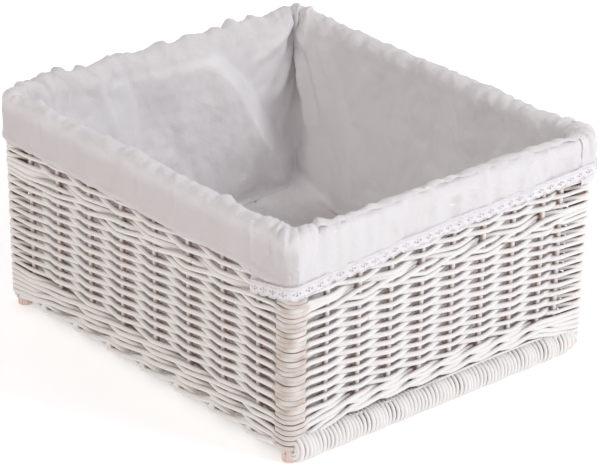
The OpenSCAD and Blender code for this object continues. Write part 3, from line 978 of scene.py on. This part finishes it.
def hang(walls, shares, z):
    """How far the cotton hangs inside its straight line, on each wall, before it is let go."""
    x = wall_coordinate(walls, shares)
    depth = np.zeros(len(walls))
    up = smoothstep(z, FLOOR_Z, FLOOR_Z + 20 * MM)
    for wall in range(4):
        on = walls == wall
        slow = 2.2 * wave(along_wall(x[on]) * 0.9, 40 + wall, 3, 2)
        slow += 1.2 * wave(along_wall(x[on] + 0.3 * z), 50 + wall, 3, 4)
        d = (1.8 + slow) * up + HANG[wall](x[on], z)
        d *= smoothstep(1 - np.abs(shares[on]), 0.0, 0.05)
        depth[on] = np.maximum(d, 0)
    return depth * MM


def crest_shift(walls, shares):
    """How far the rolled rim wanders in and out along its length, and how much it rises and falls."""
    x = wall_coordinate(walls, shares)
    shift = np.zeros(len(walls))
    rise = np.zeros(len(walls))
    for wall in range(4):
        on = walls == wall
        xw = x[on]
        loop = along_wall(xw)
        shift[on] = 0.9 * wave(loop, 60 + wall, 4, 3) + 0.45 * wave(loop, 64 + wall, 4, 17)
        rise[on] = 0.5 * wave(loop, 70 + wall, 5, 4) + 0.35 * wave(loop, 74 + wall, 5, 19)
        if wall == FRONT:
            shift[on] += between(xw, [-158, -100, -27, 66, 120, 150], [0, 2.0, -0.5, -2.6, 0.6, 2.4])
        elif wall == BACK:
            waviness = smoothstep(-xw, -0.05, 0.12) * 0.4 + 0.6
            rise[on] += 0.9 * waviness * np.sin(TAU * xw / 0.031 + 1.3 * np.sin(TAU * xw / 0.13))
            shift[on] += 1.3 * waviness * np.sin(TAU * xw / 0.043 + 2.0)
            left_end = gauss(xw - 0.115, 0.022)
            rise[on] += 1.3 * left_end * np.sin(TAU * xw / 0.0095)
            shift[on] += 1.6 * left_end * np.sin(TAU * xw / 0.0095 + 0.8)
        edge = smoothstep(1 - np.abs(shares[on]), 0.0, 0.06)
        shift[on] *= edge
        rise[on] *= 0.3 + 0.7 * edge
    return shift * MM, rise * MM


# The rolled rim's section, inside to outside: offset from the wall line and height, in millimetres.
RIM = [(-9.6, 193.0), (-9.3, 198.5), (-8.2, 202.6), (-5.6, 205.6), (-2.2, 207.0), (1.4, 207.1), (4.8, 205.8),
       (7.3, 203.0), (8.5, 199.2), (8.9, 194.5)]
CREST = 5


def rim_row(walls, shares, turns, n, z, weight):
    """One row of the rolled rim, pleated where the cotton turns a corner."""
    shift, rise = crest_shift(walls, shares)
    x = wall_coordinate(walls, shares)
    n = n * MM + shift * weight
    z = z * MM + rise * weight
    # Fullness is taken up in small pleats that stand at the corners.
    half = BOX_HALF[walls]
    corner = np.where(turns > 0, 1.0, smoothstep(np.abs(x), half - 30 * MM, half - 8 * MM))
    run = np.where(turns > 0, (turns - 0.5) * 16 * MM, np.sign(x) * (half - np.abs(x)) * -1.0)
    pleat = np.sin(TAU * run / (7.4 * MM) + 0.9 * np.sin(run / (5 * MM)))
    n = n + 1.0 * MM * corner * pleat * weight
    z = z + 1.1 * MM * corner * (0.6 + 0.8 * pleat) * weight
    return n, z


def rim_radius(n):
    """How round the rim's corners are at offset n."""
    return np.maximum(CORNER_R + (n - INNER_N) * 0.4, 5 * MM)


def cotton_mesh(rows, closed=True):
    """Quads between rows of points, each row running round the loop."""
    verts = np.concatenate(rows)
    width = len(rows[0])
    faces = []
    cols = np.arange(width if closed else width - 1)
    nxt = (cols + 1) % width
    for r in range(len(rows) - 1):
        a, b = r * width, (r + 1) * width
        faces.append(np.stack([a + cols, a + nxt, b + nxt, b + cols], axis=1))
    return verts, np.concatenate(faces)


def make_object(name, verts, faces, material, attributes=()):
    mesh = bpy.data.meshes.new(name)
    mesh.from_pydata(np.asarray(verts).tolist(), [], np.asarray(faces).tolist())
    mesh.materials.append(material)
    ob = bpy.data.objects.new(name, mesh)
    bpy.context.scene.collection.objects.link(ob)
    for key, values in attributes:
        mesh.attributes.new(key, "FLOAT", "POINT").data.foreach_set("value", np.asarray(values, np.float32))
    return ob


def apply_modifiers(ob):
    graph = bpy.context.evaluated_depsgraph_get()
    mesh = bpy.data.meshes.new_from_object(ob.evaluated_get(graph), depsgraph=graph)
    ob.modifiers.clear()
    ob.data = mesh
    ob.data.shade_smooth()


def open_box_collider():
    """The basket's own inside, as the cotton feels it."""
    verts = []
    for z in (FLOOR_Z - 2.2 * MM, border_high.z - 6 * MM):
        inset = lean(z) - lean(border_high.z) - 7.6 * MM
        verts += [(sx * (BOX_X + inset), sy * (BOX_Y + inset), z) for sx, sy in CORNER_SIGNS]
    faces = [(0, 1, 2, 3), (0, 4, 5, 1), (1, 5, 6, 2), (2, 6, 7, 3), (3, 7, 4, 0)]
    mesh = bpy.data.meshes.new("inside")
    mesh.from_pydata(verts, [], faces)
    ob = bpy.data.objects.new("inside", mesh)
    bpy.context.scene.collection.objects.link(ob)
    ob.modifiers.new("Collision", "COLLISION")
    ob.collision.thickness_outer = 0.0012
    ob.collision.cloth_friction = 12
    return ob


# A cuff's rows as shares of the way down, and its hem: height above the edge and bulge, in millimetres.
CUFF_DROP = (0.12, 0.26, 0.40, 0.54, 0.68, 0.80)
CUFF_HEM = ((6.4, 0.0), (5.4, 0.05), (5.0, 0.55), (3.0, 0.7), (0.9, 0.6), (0.0, 0.2))
SETTLE_FRAMES = 24


def settle(ob, held):
    """Let the hanging cotton settle under its own weight inside the basket."""
    group = ob.vertex_groups.new(name="held")
    for value in np.unique(np.round(held, 2)):
        group.add(np.where(np.round(held, 2) == value)[0].tolist(), float(value), "REPLACE")
    box = open_box_collider()
    cloth = ob.modifiers.new("Cloth", "CLOTH")
    s = cloth.settings
    s.quality = 6
    s.mass = 0.06
    s.tension_stiffness = s.compression_stiffness = 60
    s.shear_stiffness = 25
    s.bending_stiffness = 0.35
    s.tension_damping = s.compression_damping = 12
    s.air_damping = 4
    s.shrink_min = s.shrink_max = -0.006
    s.vertex_group_mass = "held"
    s.pin_stiffness = 1.0
    cloth.collision_settings.distance_min = 0.0012
    cloth.collision_settings.collision_quality = 2
    cloth.collision_settings.use_self_collision = False
    scene = bpy.context.scene
    cloth.point_cache.frame_start, cloth.point_cache.frame_end = 1, SETTLE_FRAMES + 2
    for number in range(1, SETTLE_FRAMES + 1):
        scene.frame_set(number)
    apply_modifiers(ob)
    scene.frame_set(1)
    bpy.data.objects.remove(box, do_unlink=True)


def tuck(co, normals, start, end, up, width, height, reach=0.03):
    """Raise a fold of cotton from start to end, which stands up along the cloth's own normal."""
    start, end, up = (np.array(v) * MM for v in (start, end, up))
    along = end - start
    length = np.linalg.norm(along)
    along /= length
    side = np.cross(along, up / np.linalg.norm(up))
    side /= np.linalg.norm(side)
    lift = np.cross(side, along)
    rel = co - start
    t = rel @ along / length
    across = rel @ side
    near = 1 - smoothstep(np.abs(rel @ lift), 0.4 * reach, reach)
    window = smoothstep(t, -0.12, 0.22) * (1 - smoothstep(t, 0.72, 1.1))
    spread = width * MM * (0.7 + 0.6 * np.clip(t, 0, 1))
    # One flank of a fold is steeper than the other.
    skew = across / spread
    ridge = np.exp(-(skew * np.where(skew > 0, 1.5, 0.8)) ** 2)
    return normals * (height * MM * window * ridge * near)[:, None]


def crumple(co, scale, seed):
    """Sharp small creases with soft places between them, from 0 to 1."""
    shift = Vector((seed * 7.3, seed * 3.1, seed * 5.7))

    def creases(point, size):
        return abs(noise.noise(point * size + shift))

    return np.array([creases(Vector(p), scale) + 0.5 * creases(Vector(p), scale * 2.3) for p in co])


def clear_of_border(co, clearance):
    """Push the cotton out of the border that it lies over, straight away from the border's middle line."""
    tree = KDTree(len(BORDER_LINE) * 4)
    ahead = np.roll(BORDER_LINE, -1, 0)
    fine = np.concatenate([BORDER_LINE + (ahead - BORDER_LINE) * k / 4 for k in range(4)])
    for k, point in enumerate(fine):
        tree.insert(point, k)
    tree.balance()
    out = co.copy()
    for k in np.where(co[:, 2] > border_low.z - 4 * MM)[0]:
        middle, _, gap = tree.find(co[k])
        if gap < BORDER_R + clearance:
            middle = np.array(middle)
            out[k] = middle + (co[k] - middle) * (BORDER_R + clearance) / max(gap, MM)
    return out


def beyond_box(co):
    """How far a point is outside the wall lines; negative inside them."""
    return np.maximum(np.abs(co[:, 0]) - BOX_X, np.abs(co[:, 1]) - BOX_Y)


def clear_of_weave(co):
    """Keep the inside of the bag clear of the wall rods and the base mat."""
    slack = lean(co[:, 2]) - lean(border_high.z) - 8.2 * MM
    hanging = (co[:, 2] < 187 * MM) & (beyond_box(co) < -4 * MM)
    out = co.copy()
    for axis, limit in ((0, BOX_X + slack), (1, BOX_Y + slack)):
        out[hanging, axis] = np.clip(co[:, axis], -limit, limit)[hanging]
    out[hanging, 2] = np.maximum(co[hanging, 2], FLOOR_Z - 0.7 * MM)
    return out


def wrinkle(ob, tucks, levels, clearance):
    """Tucks and small creases; levels are the creases' heights inside, on the rim and on the cuffs, in mm."""
    mesh = ob.data
    co = np.zeros(len(mesh.vertices) * 3)
    mesh.vertices.foreach_get("co", co)
    co = co.reshape(-1, 3)
    normals = np.array([v.normal for v in mesh.vertices])
    move = np.zeros_like(co)
    for start, end, up, width, height in tucks:
        move += tuck(co, normals, start, end, up, width, height)
    rim_share = smoothstep(co[:, 2], 0.188, 0.203)
    outside = smoothstep(beyond_box(co), 0.0, 6 * MM)
    amount = levels[0] + (levels[1] - levels[0]) * rim_share
    amount = amount * (1 - outside * (1 - rim_share)) + levels[2] * outside * (1 - rim_share)
    stretch = co * np.array([1.0, 1.0, 0.6])
    creases = 0.8 * crumple(stretch, 24.0, 3) + 0.55 * crumple(stretch, 62.0, 5)
    move += normals * ((creases - 0.3) * amount * MM)[:, None]
    moved = clear_of_border(clear_of_weave(co + move), clearance)
    mesh.vertices.foreach_set("co", moved.ravel())
    mesh.update()
    # Painted shade: the rim and outer cuffs are marked to be coloured darker, the outer cuff on the left
    # most.
    handled = np.maximum(outside, rim_share) * np.where(co[:, 0] < -BOX_X, 0.95 - 0.5 * rim_share, 0.45)
    carried = mesh.attributes.new("handled", "FLOAT", "POINT")
    carried.data.foreach_set("value", handled.astype(np.float32))


def bag_walls(walls, shares, turns):
    """The bag's rows of points, from the floor's edge up the walls, over the rim and down the cuffs."""
    rows = []
    # The seam round the floor is a soft curve, tight into the corners.
    seam = [(0.0, 6.0), (0.6, 2.6), (2.6, 0.7), (6.0, 0.1), (10.5, 0.0)]
    levels = [(FLOOR_Z + above * MM, inset * MM) for above, inset in seam]
    levels += [(z, 0.0) for z in np.linspace(FLOOR_Z + 15.5 * MM, 188.5 * MM, 33)]
    for z, inset in levels:
        radius = 0.3 * MM + smoothstep(z, 0.03, 0.10) * CORNER_R
        rows.append(place(walls, shares, turns, INNER_N - inset - hang(walls, shares, z), z, radius))
    # The top of the walls runs into the rim without a step.
    inner_top = hang(walls, shares, 200 * MM)
    for k, (n, z) in enumerate(RIM):
        nn, zz = rim_row(walls, shares, turns, n, z, RIM_WEIGHTS[k])
        nn = nn - inner_top * (smoothstep(np.array(z), 207.4, 198.0) if k < CREST else 0.0)
        rows.append(place(walls, shares, turns, nn, zz, rim_radius(nn)))
    cuff_start = len(rows)
    x = wall_coordinate(walls, shares)
    hem = HEM_Z + (0.9 * wave(along_wall(x), 81, 3, 1) + 0.4) * MM
    fold = 0.75 * wave(along_wall(x), 90, 5, 5) + 0.35 * wave(along_wall(x), 91, 4, 13)
    for share in CUFF_DROP:
        n = CUFF_N * MM + fold * MM * share * 0.8 - 0.4 * MM * math.sin(math.pi * share)
        rows.append(place(walls, shares, turns, n, CUFF_TOP - (CUFF_TOP - hem) * share, CUFF_CORNER_R))
    for above, out in CUFF_HEM:
        n = (CUFF_N + 0.8 * fold + out) * MM - 0.2 * MM
        rows.append(place(walls, shares, turns, n, hem + above * MM, CUFF_CORNER_R))
    return rows, cuff_start


def bag_floor(verts, walls, turns):
    """Quads across the bottom, from the first row's own points to inner points that are added."""
    nx, ny = (int((turns[walls == wall] == 0).sum()) for wall in (FRONT, RIGHT))
    first = [int(np.where((walls == w) & (turns == 0))[0][0]) for w in range(4)]
    grid = -np.ones((nx, ny), int)
    xs = verts[first[FRONT]:first[FRONT] + nx, 0]
    ys = verts[first[RIGHT]:first[RIGHT] + ny, 1]
    extra = []
    for i in range(nx):
        for j in range(ny):
            if j == 0:
                grid[i, j] = first[FRONT] + i
            elif i == nx - 1:
                grid[i, j] = first[RIGHT] + j
            elif j == ny - 1:
                grid[i, j] = first[BACK] + nx - 1 - i
            elif i == 0:
                grid[i, j] = first[LEFT] + ny - 1 - j
            else:
                grid[i, j] = len(verts) + len(extra)
                uneven = 0.25 * MM * math.sin(xs[i] * 61 + 2) * math.sin(ys[j] * 47)
                extra.append((xs[i], ys[j], FLOOR_Z - 0.3 * MM + uneven))
    quads = [(grid[i, j], grid[i, j + 1], grid[i + 1, j + 1], grid[i + 1, j])
             for i in range(nx - 1) for j in range(ny - 1)]
    return np.concatenate([verts, np.array(extra)]), np.array(quads)


def draw_up_corner(verts):
    """The bag is too short to reach the back right corner, so its floor is drawn up there."""
    dx = np.clip((verts[:, 0] - (BOX_X - 110 * MM)) / (100 * MM), 0, 1)
    dy = np.clip((verts[:, 1] - (BOX_Y - 75 * MM)) / (65 * MM), 0, 1)
    low = smoothstep(verts[:, 2], 0.095, FLOOR_Z)
    lift = 30 * MM * (dx * dy) ** 1.2 * low
    verts[:, 2] += lift
    verts[:, 0] -= 7 * MM * dx * dy * low
    verts[:, 1] -= 9 * MM * dx * dy * low


def join_seams(ob, held):
    """Merge the doubled points at the corners, and carry each point's hold through it."""
    bm = bmesh.new()
    bm.from_mesh(ob.data)
    layer = bm.verts.layers.float.new("held")
    for v, h in zip(bm.verts, held):
        v[layer] = h
    bmesh.ops.remove_doubles(bm, verts=bm.verts, dist=0.9 * MM)
    loose = [v for v in bm.verts if not v.link_faces]
    bmesh.ops.delete(bm, geom=loose, context="VERTS")
    bmesh.ops.recalc_face_normals(bm, faces=bm.faces)
    held = np.array([v[layer] for v in bm.verts])
    bm.to_mesh(ob.data)
    bm.free()
    return held


def liner_bag():
    """The bag with its rolled rim and the plain cuffs of three walls, settled inside the basket."""
    walls, shares, turns = loop_columns(2.2 * MM, 20 * MM, 5.2 * MM, 7)
    width = len(walls)
    rows, cuff_start = bag_walls(walls, shares, turns)
    verts, faces = cotton_mesh(rows)
    # The front's own cuff is the longer flap, so the plain cuff leaves off along the front.
    col, row = faces[:, 0] % width, faces[:, 0] // width
    plain_front = (row >= cuff_start - 4) & (walls[col] == FRONT) & (np.abs(shares[col]) < 0.93)
    verts, floor_quads = bag_floor(verts, walls, turns)
    faces = np.concatenate([faces[~plain_front], floor_quads])
    draw_up_corner(verts)
    # The rim and cuffs stay put. The rest is pulled lightly towards the folds that it was put in with.
    row_of = np.arange(len(verts)) // width
    still = (row_of >= cuff_start - len(RIM) - 2) & (row_of < len(rows))
    held = np.where(still, 1.0, 0.5)
    ob = make_object("cotton_bag", verts, faces, cotton)
    held = join_seams(ob, held)
    settle(ob, held)
    return ob


def flap_columns():
    """The flap's columns: round the left corner, along the front, and a little way round the right corner."""
    walls, shares, turns = loop_columns(1.6 * MM, 22 * MM, 4.2 * MM, 9)
    x = wall_coordinate(walls, shares)
    left = (walls == LEFT) & ((x > RETURN_END) | (turns > 0))
    right = (walls == RIGHT) & (x < -(BOX_Y - 27 * MM)) & (turns == 0)
    order = np.concatenate([np.where(part)[0] for part in (left, walls == FRONT, right)])
    return walls[order], shares[order], turns[order]


def lace_bottom(points):
    """Height of the lace's lower edge, which rises to the right along the front."""
    front = between(points[:, 0], [-182, -158.7, -21, 155, 182], [151.5, 154.1, 163.4, 169.0, 170.0]) * MM
    back = np.clip((points[:, 1] + BOX_Y) / (45 * MM), 0, 1)
    return front - (points[:, 0] < 0) * back * 9.5 * MM


FLAP_DROP = (0.1, 0.22, 0.34, 0.46, 0.58, 0.70, 0.80, 0.90, 0.97, 1.0)


def front_flap():
    """The front's cuff, from the crest of the rim to its hem, and the line that the lace follows."""
    walls, shares, turns = flap_columns()
    x = wall_coordinate(walls, shares)
    rows = []
    line = place(walls, shares, turns, 9.8 * MM, 165 * MM, CUFF_CORNER_R)
    hem = lace_bottom(line) + 9.6 * MM
    # It stands off a little on its way round the corners, most at its loose end on the right.
    loose = np.where(walls == RIGHT, smoothstep(x, -(BOX_Y - 8 * MM), -(BOX_Y - 27 * MM)), 0.0)
    extra = np.where(walls == FRONT, 1.0, 1.3) + 3.5 * loose
    for k in range(CREST, len(RIM)):
        nn, zz = rim_row(walls, shares, turns, *RIM[k], RIM_WEIGHTS[k])
        grow = (k - CREST) / (len(RIM) - 1 - CREST)
        over = nn + extra * MM * (0.5 + 0.5 * grow)
        rows.append(place(walls, shares, turns, over, zz + 1.0 * MM, rim_radius(nn)))
    fold = 1.5 * wave(along_wall(x), 93, 5, 5) + 0.45 * wave(along_wall(x), 94, 4, 15)
    fold += 1.6 * gauss(x - 0.135, 0.006) - 1.2 * gauss(x + 0.125, 0.006) + 1.0 * gauss(x + 0.098, 0.005)
    for share in FLAP_DROP:
        n = (CUFF_N + extra + fold * share * 0.7 - 0.5 * math.sin(math.pi * share) + 0.25) * MM
        rows.append(place(walls, shares, turns, n, CUFF_TOP - (CUFF_TOP - hem) * share, CUFF_CORNER_R))
    verts, faces = cotton_mesh(rows, closed=False)
    ob = make_object("cotton_flap", verts, faces, cotton)
    return ob, (walls, shares, turns, hem, fold + extra)


LACE_PERIOD, LACE_TALL, LACE_DEPTH = 11.6, 12.0, 1.9
# Eyelets: centre and half sizes, in millimetres from a scallop's left edge and lowest line.
LACE_HOLES = ((5.8, 4.3, 0.7, 0.8), (3.0, 5.6, 0.45, 0.5), (8.6, 5.6, 0.45, 0.5), (5.8, 6.9, 0.4, 0.45))
HOLE_POINTS, SCALLOP_POINTS = 12, 14


def scallop(share):
    """Height of the lace's edge above its lowest line, in millimetres, along one scallop."""
    return LACE_DEPTH * (1 - np.abs(np.sin(math.pi * share)) ** 0.75)


def in_hole(x, y, spare, limit):
    """Whether a point is inside an eyelet that is widened by spare."""
    return any(((x - cx) / (rx + spare)) ** 2 + ((y - cy) / (ry + spare)) ** 2 < limit
               for cx, cy, rx, ry in LACE_HOLES)


def lace_tile():
    """One scallop of eyelet lace, as triangles with the eyelets left open, in metres."""
    points = [(LACE_PERIOD * k / 8, LACE_TALL) for k in range(9)]
    shares = 1 - np.arange(SCALLOP_POINTS + 1) / SCALLOP_POINTS
    points += [(LACE_PERIOD * t, scallop(t)) for t in shares]
    loops = [list(range(len(points)))]
    for cx, cy, rx, ry in LACE_HOLES:
        loops.append(list(range(len(points), len(points) + HOLE_POINTS)))
        angles = [-TAU * k / HOLE_POINTS for k in range(HOLE_POINTS)]
        points += [(cx + rx * math.cos(a), cy + ry * math.sin(a)) for a in angles]
    points += [(u, v) for u in np.arange(1.2, LACE_PERIOD, 1.3) for v in np.arange(1.4, LACE_TALL, 1.5)
               if not in_hole(u, v, 0.5, 1.0) and v > scallop(u / LACE_PERIOD) + 0.6]
    edges = [(ids[k], ids[(k + 1) % len(ids)]) for ids in loops for k in range(len(ids))]
    co, _, tris, *_ = delaunay_2d_cdt([Vector(point) for point in points], edges, [], 0, 1e-5)
    co = np.array([(c.x, c.y) for c in co])
    keep = []
    for tri in tris:
        x, y = co[list(tri)].mean(axis=0)
        if y >= scallop(np.clip(x / LACE_PERIOD, 0, 1)) - 1e-6 and not in_hole(x, y, 0.0, 0.92):
            keep.append(list(tri))
    return co * MM, keep


def lace_strip(path):
    """Scalloped lace along the flap's lower edge, with thicker thread round its holes and along its edge."""
    walls, shares, turns, hem, stand = path
    line = place(walls, shares, turns, (9.4 + stand * 0.85) * MM, hem, CUFF_CORNER_R)
    bottom = lace_bottom(line)
    run = np.concatenate([[0], np.cumsum(np.linalg.norm(np.diff(line[:, :2], axis=0), axis=1))])
    co, tris = lace_tile()
    period, tall = LACE_PERIOD * MM, LACE_TALL * MM
    count = int(run[-1] / period)
    stretched = run[-1] / count
    d = np.gradient(line[:, :2], axis=0)
    d /= np.linalg.norm(d, axis=1)[:, None]
    out = np.stack([d[:, 1], -d[:, 0]], axis=1)

    def to_strip(u, v, n=0.0):
        """A place u along the lace, v up it and n off its face, in the world."""
        x, y, z, ox, oy = (np.interp(u, run, column) for column in (*line[:, :2].T, bottom, *out.T))
        curl = (0.5 * np.sin(u / stretched * TAU + 0.7) * (1 - v / tall) + 0.25) * MM
        return np.stack([x + ox * (n + curl), y + oy * (n + curl), z + v], axis=-1)

    verts, faces, threads = [], [], Tubes()
    angles = np.arange(10) / 10 * TAU
    for k in range(count):
        verts.append(to_strip((co[:, 0] / period + k) * stretched, co[:, 1]))
        faces += [[a + k * len(co) for a in tri] for tri in tris]
        for cx, cy, rx, ry in LACE_HOLES:
            u = (k + (cx + (rx + 0.25) * np.cos(angles)) * MM / period) * stretched
            ring = to_strip(u, (cy + (ry + 0.25) * np.sin(angles)) * MM, 0.25 * MM)
            threads.add(ring, 0.27 * MM, sides=5, closed=True, up=(*out[len(out) // 2], 0))
    t = np.linspace(0, count, count * 12 + 1)
    edge = to_strip(t * stretched, (scallop(t) + 0.25) * MM, 0.3 * MM)
    threads.add(edge, 0.42 * MM, sides=6)
    for up, r in ((11.2 * MM, 0.22 * MM), (9.3 * MM, 0.2 * MM)):
        threads.add(to_strip(t * stretched, np.full(len(t), up), 0.35 * MM), r, sides=5)
    ob = make_object("lace_edging", np.concatenate(verts), faces, lace)
    bm = bmesh.new()
    bm.from_mesh(ob.data)
    bmesh.ops.remove_doubles(bm, verts=bm.verts, dist=0.05 * MM)
    bmesh.ops.recalc_face_normals(bm, faces=bm.faces)
    bm.to_mesh(ob.data)
    bm.free()
    ob.data.shade_smooth()
    stitches = threads.build("lace_stitching", lace, "lace", body="liner")
    return ob, stitches, float(run[-1]), tall


def soften(ob):
    """One level of subdivision, applied."""
    sub = ob.modifiers.new("Subdivision", "SUBSURF")
    sub.levels = sub.render_levels = 1
    apply_modifiers(ob)


UP = (0, 0, 1)
# Tucks at the rim's corners and down the back right corner, in millimetres: start, end, the way that the fold
# stands, width and height.
FRONT_LEFT_TUCKS = [
    ((-160, -172, 204), (-184, -190, 204), UP, 2.4, 2.5),
    ((-163, -180, 204), (-180, -199, 204), UP, 2.0, 1.8),
    ((-140, -176, 205), (-118, -200, 205), UP, 2.4, 1.7),
    ((-152, -178, 204), (-181, -178, 204), UP, 2.2, 1.3),
    ((-128, -178, 206), (-146, -202, 203), UP, 2.6, 2.0)]
FRONT_RIGHT_TUCKS = [
    ((152, -172, 206), (182, -192, 206), UP, 3.2, 4.0),
    ((146, -178, 206), (168, -208, 206), UP, 3.0, 3.0),
    ((158, -160, 206), (186, -172, 206), UP, 2.6, 2.4)]
BACK_LEFT_TUCKS = [
    ((-150 + 9 * k, 178 - k % 2, 205), (-154 + 8 * k, 204, 205), UP, 2.2, 1.8 + 0.5 * (k % 3))
    for k in range(6)]
BACK_RIGHT_TUCKS = [
    ((148, 170, 206), (176, 200, 206), UP, 3.0, 3.6),
    ((156, 164, 206), (180, 188, 206), UP, 2.6, 3.0),
    ((138, 176, 206), (160, 204, 206), UP, 3.0, 2.6)]
GATHERS = [
    ((160, 178, 206), (120, 178, 128), (0, -1, 0), 5.0, 5.5),
    ((162, 176, 206), (140, 176, 110), (0, -1, 0), 4.0, 5.0),
    ((150, 178, 208), (92, 178, 168), (0, -1, 0), 5.0, 3.5),
    ((158, 174, 200), (156, 150, 90), (-1, 0, 0), 6.0, 4.0),
    ((158, 168, 206), (158, 128, 120), (-1, 0, 0), 6.0, 3.2)]


def random_rim_tucks():
    """Small slanting folds across the rim of the back, of the front and of the sides."""
    back, front, sides = [], [], []
    draw = np.random.RandomState(23).uniform
    for x in np.arange(-128, 120, 15.0):
        dx = draw(-26, 26)
        back.append(((x, 174, 203), (x + dx, 203, 203), UP, draw(2.6, 4.4), draw(1.8, 4.2)))
    for x in np.arange(-96, 140, 26.0):
        dx = draw(-30, 30)
        front.append(((x, -176, 203), (x + dx, -205, 200), UP, draw(3.4, 5.0), draw(1.4, 2.8)))
    for y in np.arange(-120, 150, 28.0):
        dy = draw(-30, 30)
        sides.append(((-156, y, 203), (-184, y + dy, 201), UP, draw(2.0, 3.2), draw(0.7, 1.8)))
        sides.append(((156, y, 203), (184, y - dy, 201), UP, draw(2.0, 3.2), draw(0.7, 1.6)))
    return back, front, sides


def make_liner():
    """The bag, the front's flap over it and the lace along the flap."""
    back_rim, front_rim, side_rim = random_rim_tucks()
    corners = FRONT_LEFT_TUCKS + BACK_LEFT_TUCKS + BACK_RIGHT_TUCKS + GATHERS + FRONT_RIGHT_TUCKS
    bag = liner_bag()
    soften(bag)
    wrinkle(bag, corners + back_rim + side_rim, (3.4, 5.4, 3.0), 0.5 * MM)
    flap, path = front_flap()
    soften(flap)
    wrinkle(flap, FRONT_LEFT_TUCKS + FRONT_RIGHT_TUCKS + front_rim, (3.0, 5.4, 4.2), 1.5 * MM)
    edging, stitches, length, tall = lace_strip(path)
    for ob, slot in ((bag, "liner_cotton"), (flap, "liner_cotton"), (edging, "lace")):
        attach(ob, "liner")
    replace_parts(bag, "liner_floor", *["liner_wall_" + w for w in WALL_NAMES],
                *["liner_cuff_" + w for w in WALL_NAMES[1:]])
    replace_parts(flap, "liner_cuff_front")
    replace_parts(edging, "lace_trim")


make_liner()


# ---------------------------------------------------------------- camera, lights and floor

AZIMUTH, ELEVATION, ROLL = -40.812, 25.107, 0.874
CAMERA_PLACE = (-1.4889, -1.7333, 1.1562)
FLOOR_REACH = 12.0
LIT_AT = (0, 0, 0.1)


def make_camera():
    """The photo's camera: where it stands, its turn to the side, its tilt down and its roll."""
    azimuth, elevation, roll = math.radians(AZIMUTH), math.radians(ELEVATION), math.radians(ROLL)
    flat = math.cos(elevation)
    back = Vector((math.sin(azimuth) * flat, -math.cos(azimuth) * flat, math.sin(elevation)))
    right = (-back).cross(Vector((0, 0, 1))).normalized()
    up = right.cross(-back)
    turned_right = right * math.cos(roll) + up * math.sin(roll)
    turned_up = up * math.cos(roll) - right * math.sin(roll)
    data = bpy.data.cameras.new("camera")
    data.lens = 171.87
    data.sensor_width = 36
    data.clip_start, data.clip_end = 0.05, 50
    ob = bpy.data.objects.new("camera", data)
    bpy.context.scene.collection.objects.link(ob)
    axes = Matrix((turned_right, turned_up, back)).transposed()
    ob.matrix_world = Matrix.Translation(CAMERA_PLACE) @ axes.to_4x4()
    bpy.context.scene.camera = ob


def area_light(name, place, size, power, colour):
    """A rectangular light that faces the basket."""
    data = bpy.data.lights.new(name, "AREA")
    data.shape = "RECTANGLE"
    data.size, data.size_y = size
    data.energy = power
    data.color = colour
    ob = bpy.data.objects.new(name, data)
    ob.location = place
    ob.rotation_euler = (Vector(LIT_AT) - Vector(place)).to_track_quat("-Z", "Y").to_euler()
    bpy.context.scene.collection.objects.link(ob)


def make_floor():
    """The white table that the basket stands on."""
    mesh = bpy.data.meshes.new("floor")
    corners = [(sx * FLOOR_REACH, sy * FLOOR_REACH, 0) for sx, sy in CORNER_SIGNS]
    mesh.from_pydata(corners, [], [(0, 1, 2, 3)])
    floor = bpy.data.objects.new("floor", mesh)
    bpy.context.scene.collection.objects.link(floor)
    mat, _, bsdf = new_material("floor")
    bsdf.inputs["Base Color"].default_value = (0.93, 0.93, 0.93, 1)
    bsdf.inputs["Roughness"].default_value = 0.9
    bsdf.inputs["Specular IOR Level"].default_value = 0.1
    bsdf.inputs["Emission Color"].default_value = (1, 1, 1, 1)
    bsdf.inputs["Emission Strength"].default_value = 0.33
    mesh.materials.append(mat)


def make_sky():
    """A room lit through its windows: bright all round and darker overhead, dimmer and warmer on the left."""
    world = bpy.data.worlds.new("studio")
    world.use_nodes = True
    sky = world.node_tree
    place_in_sky = sky.nodes.new("ShaderNodeTexCoord")
    split = sky.nodes.new("ShaderNodeSeparateXYZ")
    sky.links.new(place_in_sky.outputs["Generated"], split.inputs["Vector"])
    colour = ramp(sky, split.outputs["Z"], [(0.0, (0.90, 0.89, 0.885)), (0.45, (0.88, 0.875, 0.885)),
                                            (1.0, (0.78, 0.775, 0.81))])
    across = math_node(sky, "ADD", math_node(sky, "MULTIPLY", split.outputs["X"], 0.5), 0.5)
    side = ramp(sky, across, [(0.1, (0.84, 0.79, 0.74)), (0.55, WHITE)])
    sky.links.new(mix(sky, 1.0, colour, side, "MULTIPLY"), sky.nodes["Background"].inputs["Color"])
    sky.nodes["Background"].inputs["Strength"].default_value = 0.82
    bpy.context.scene.world = world
    bpy.context.scene.view_settings.view_transform = "Standard"


make_camera()
make_floor()
make_sky()
area_light("key", (1.1, -2.4, 1.75), (0.9, 0.7), 40, (0.94, 0.97, 1.0))
area_light("fill", (-2.3, -0.1, 2.1), (0.9, 0.8), 14.0, (1.0, 0.92, 0.85))
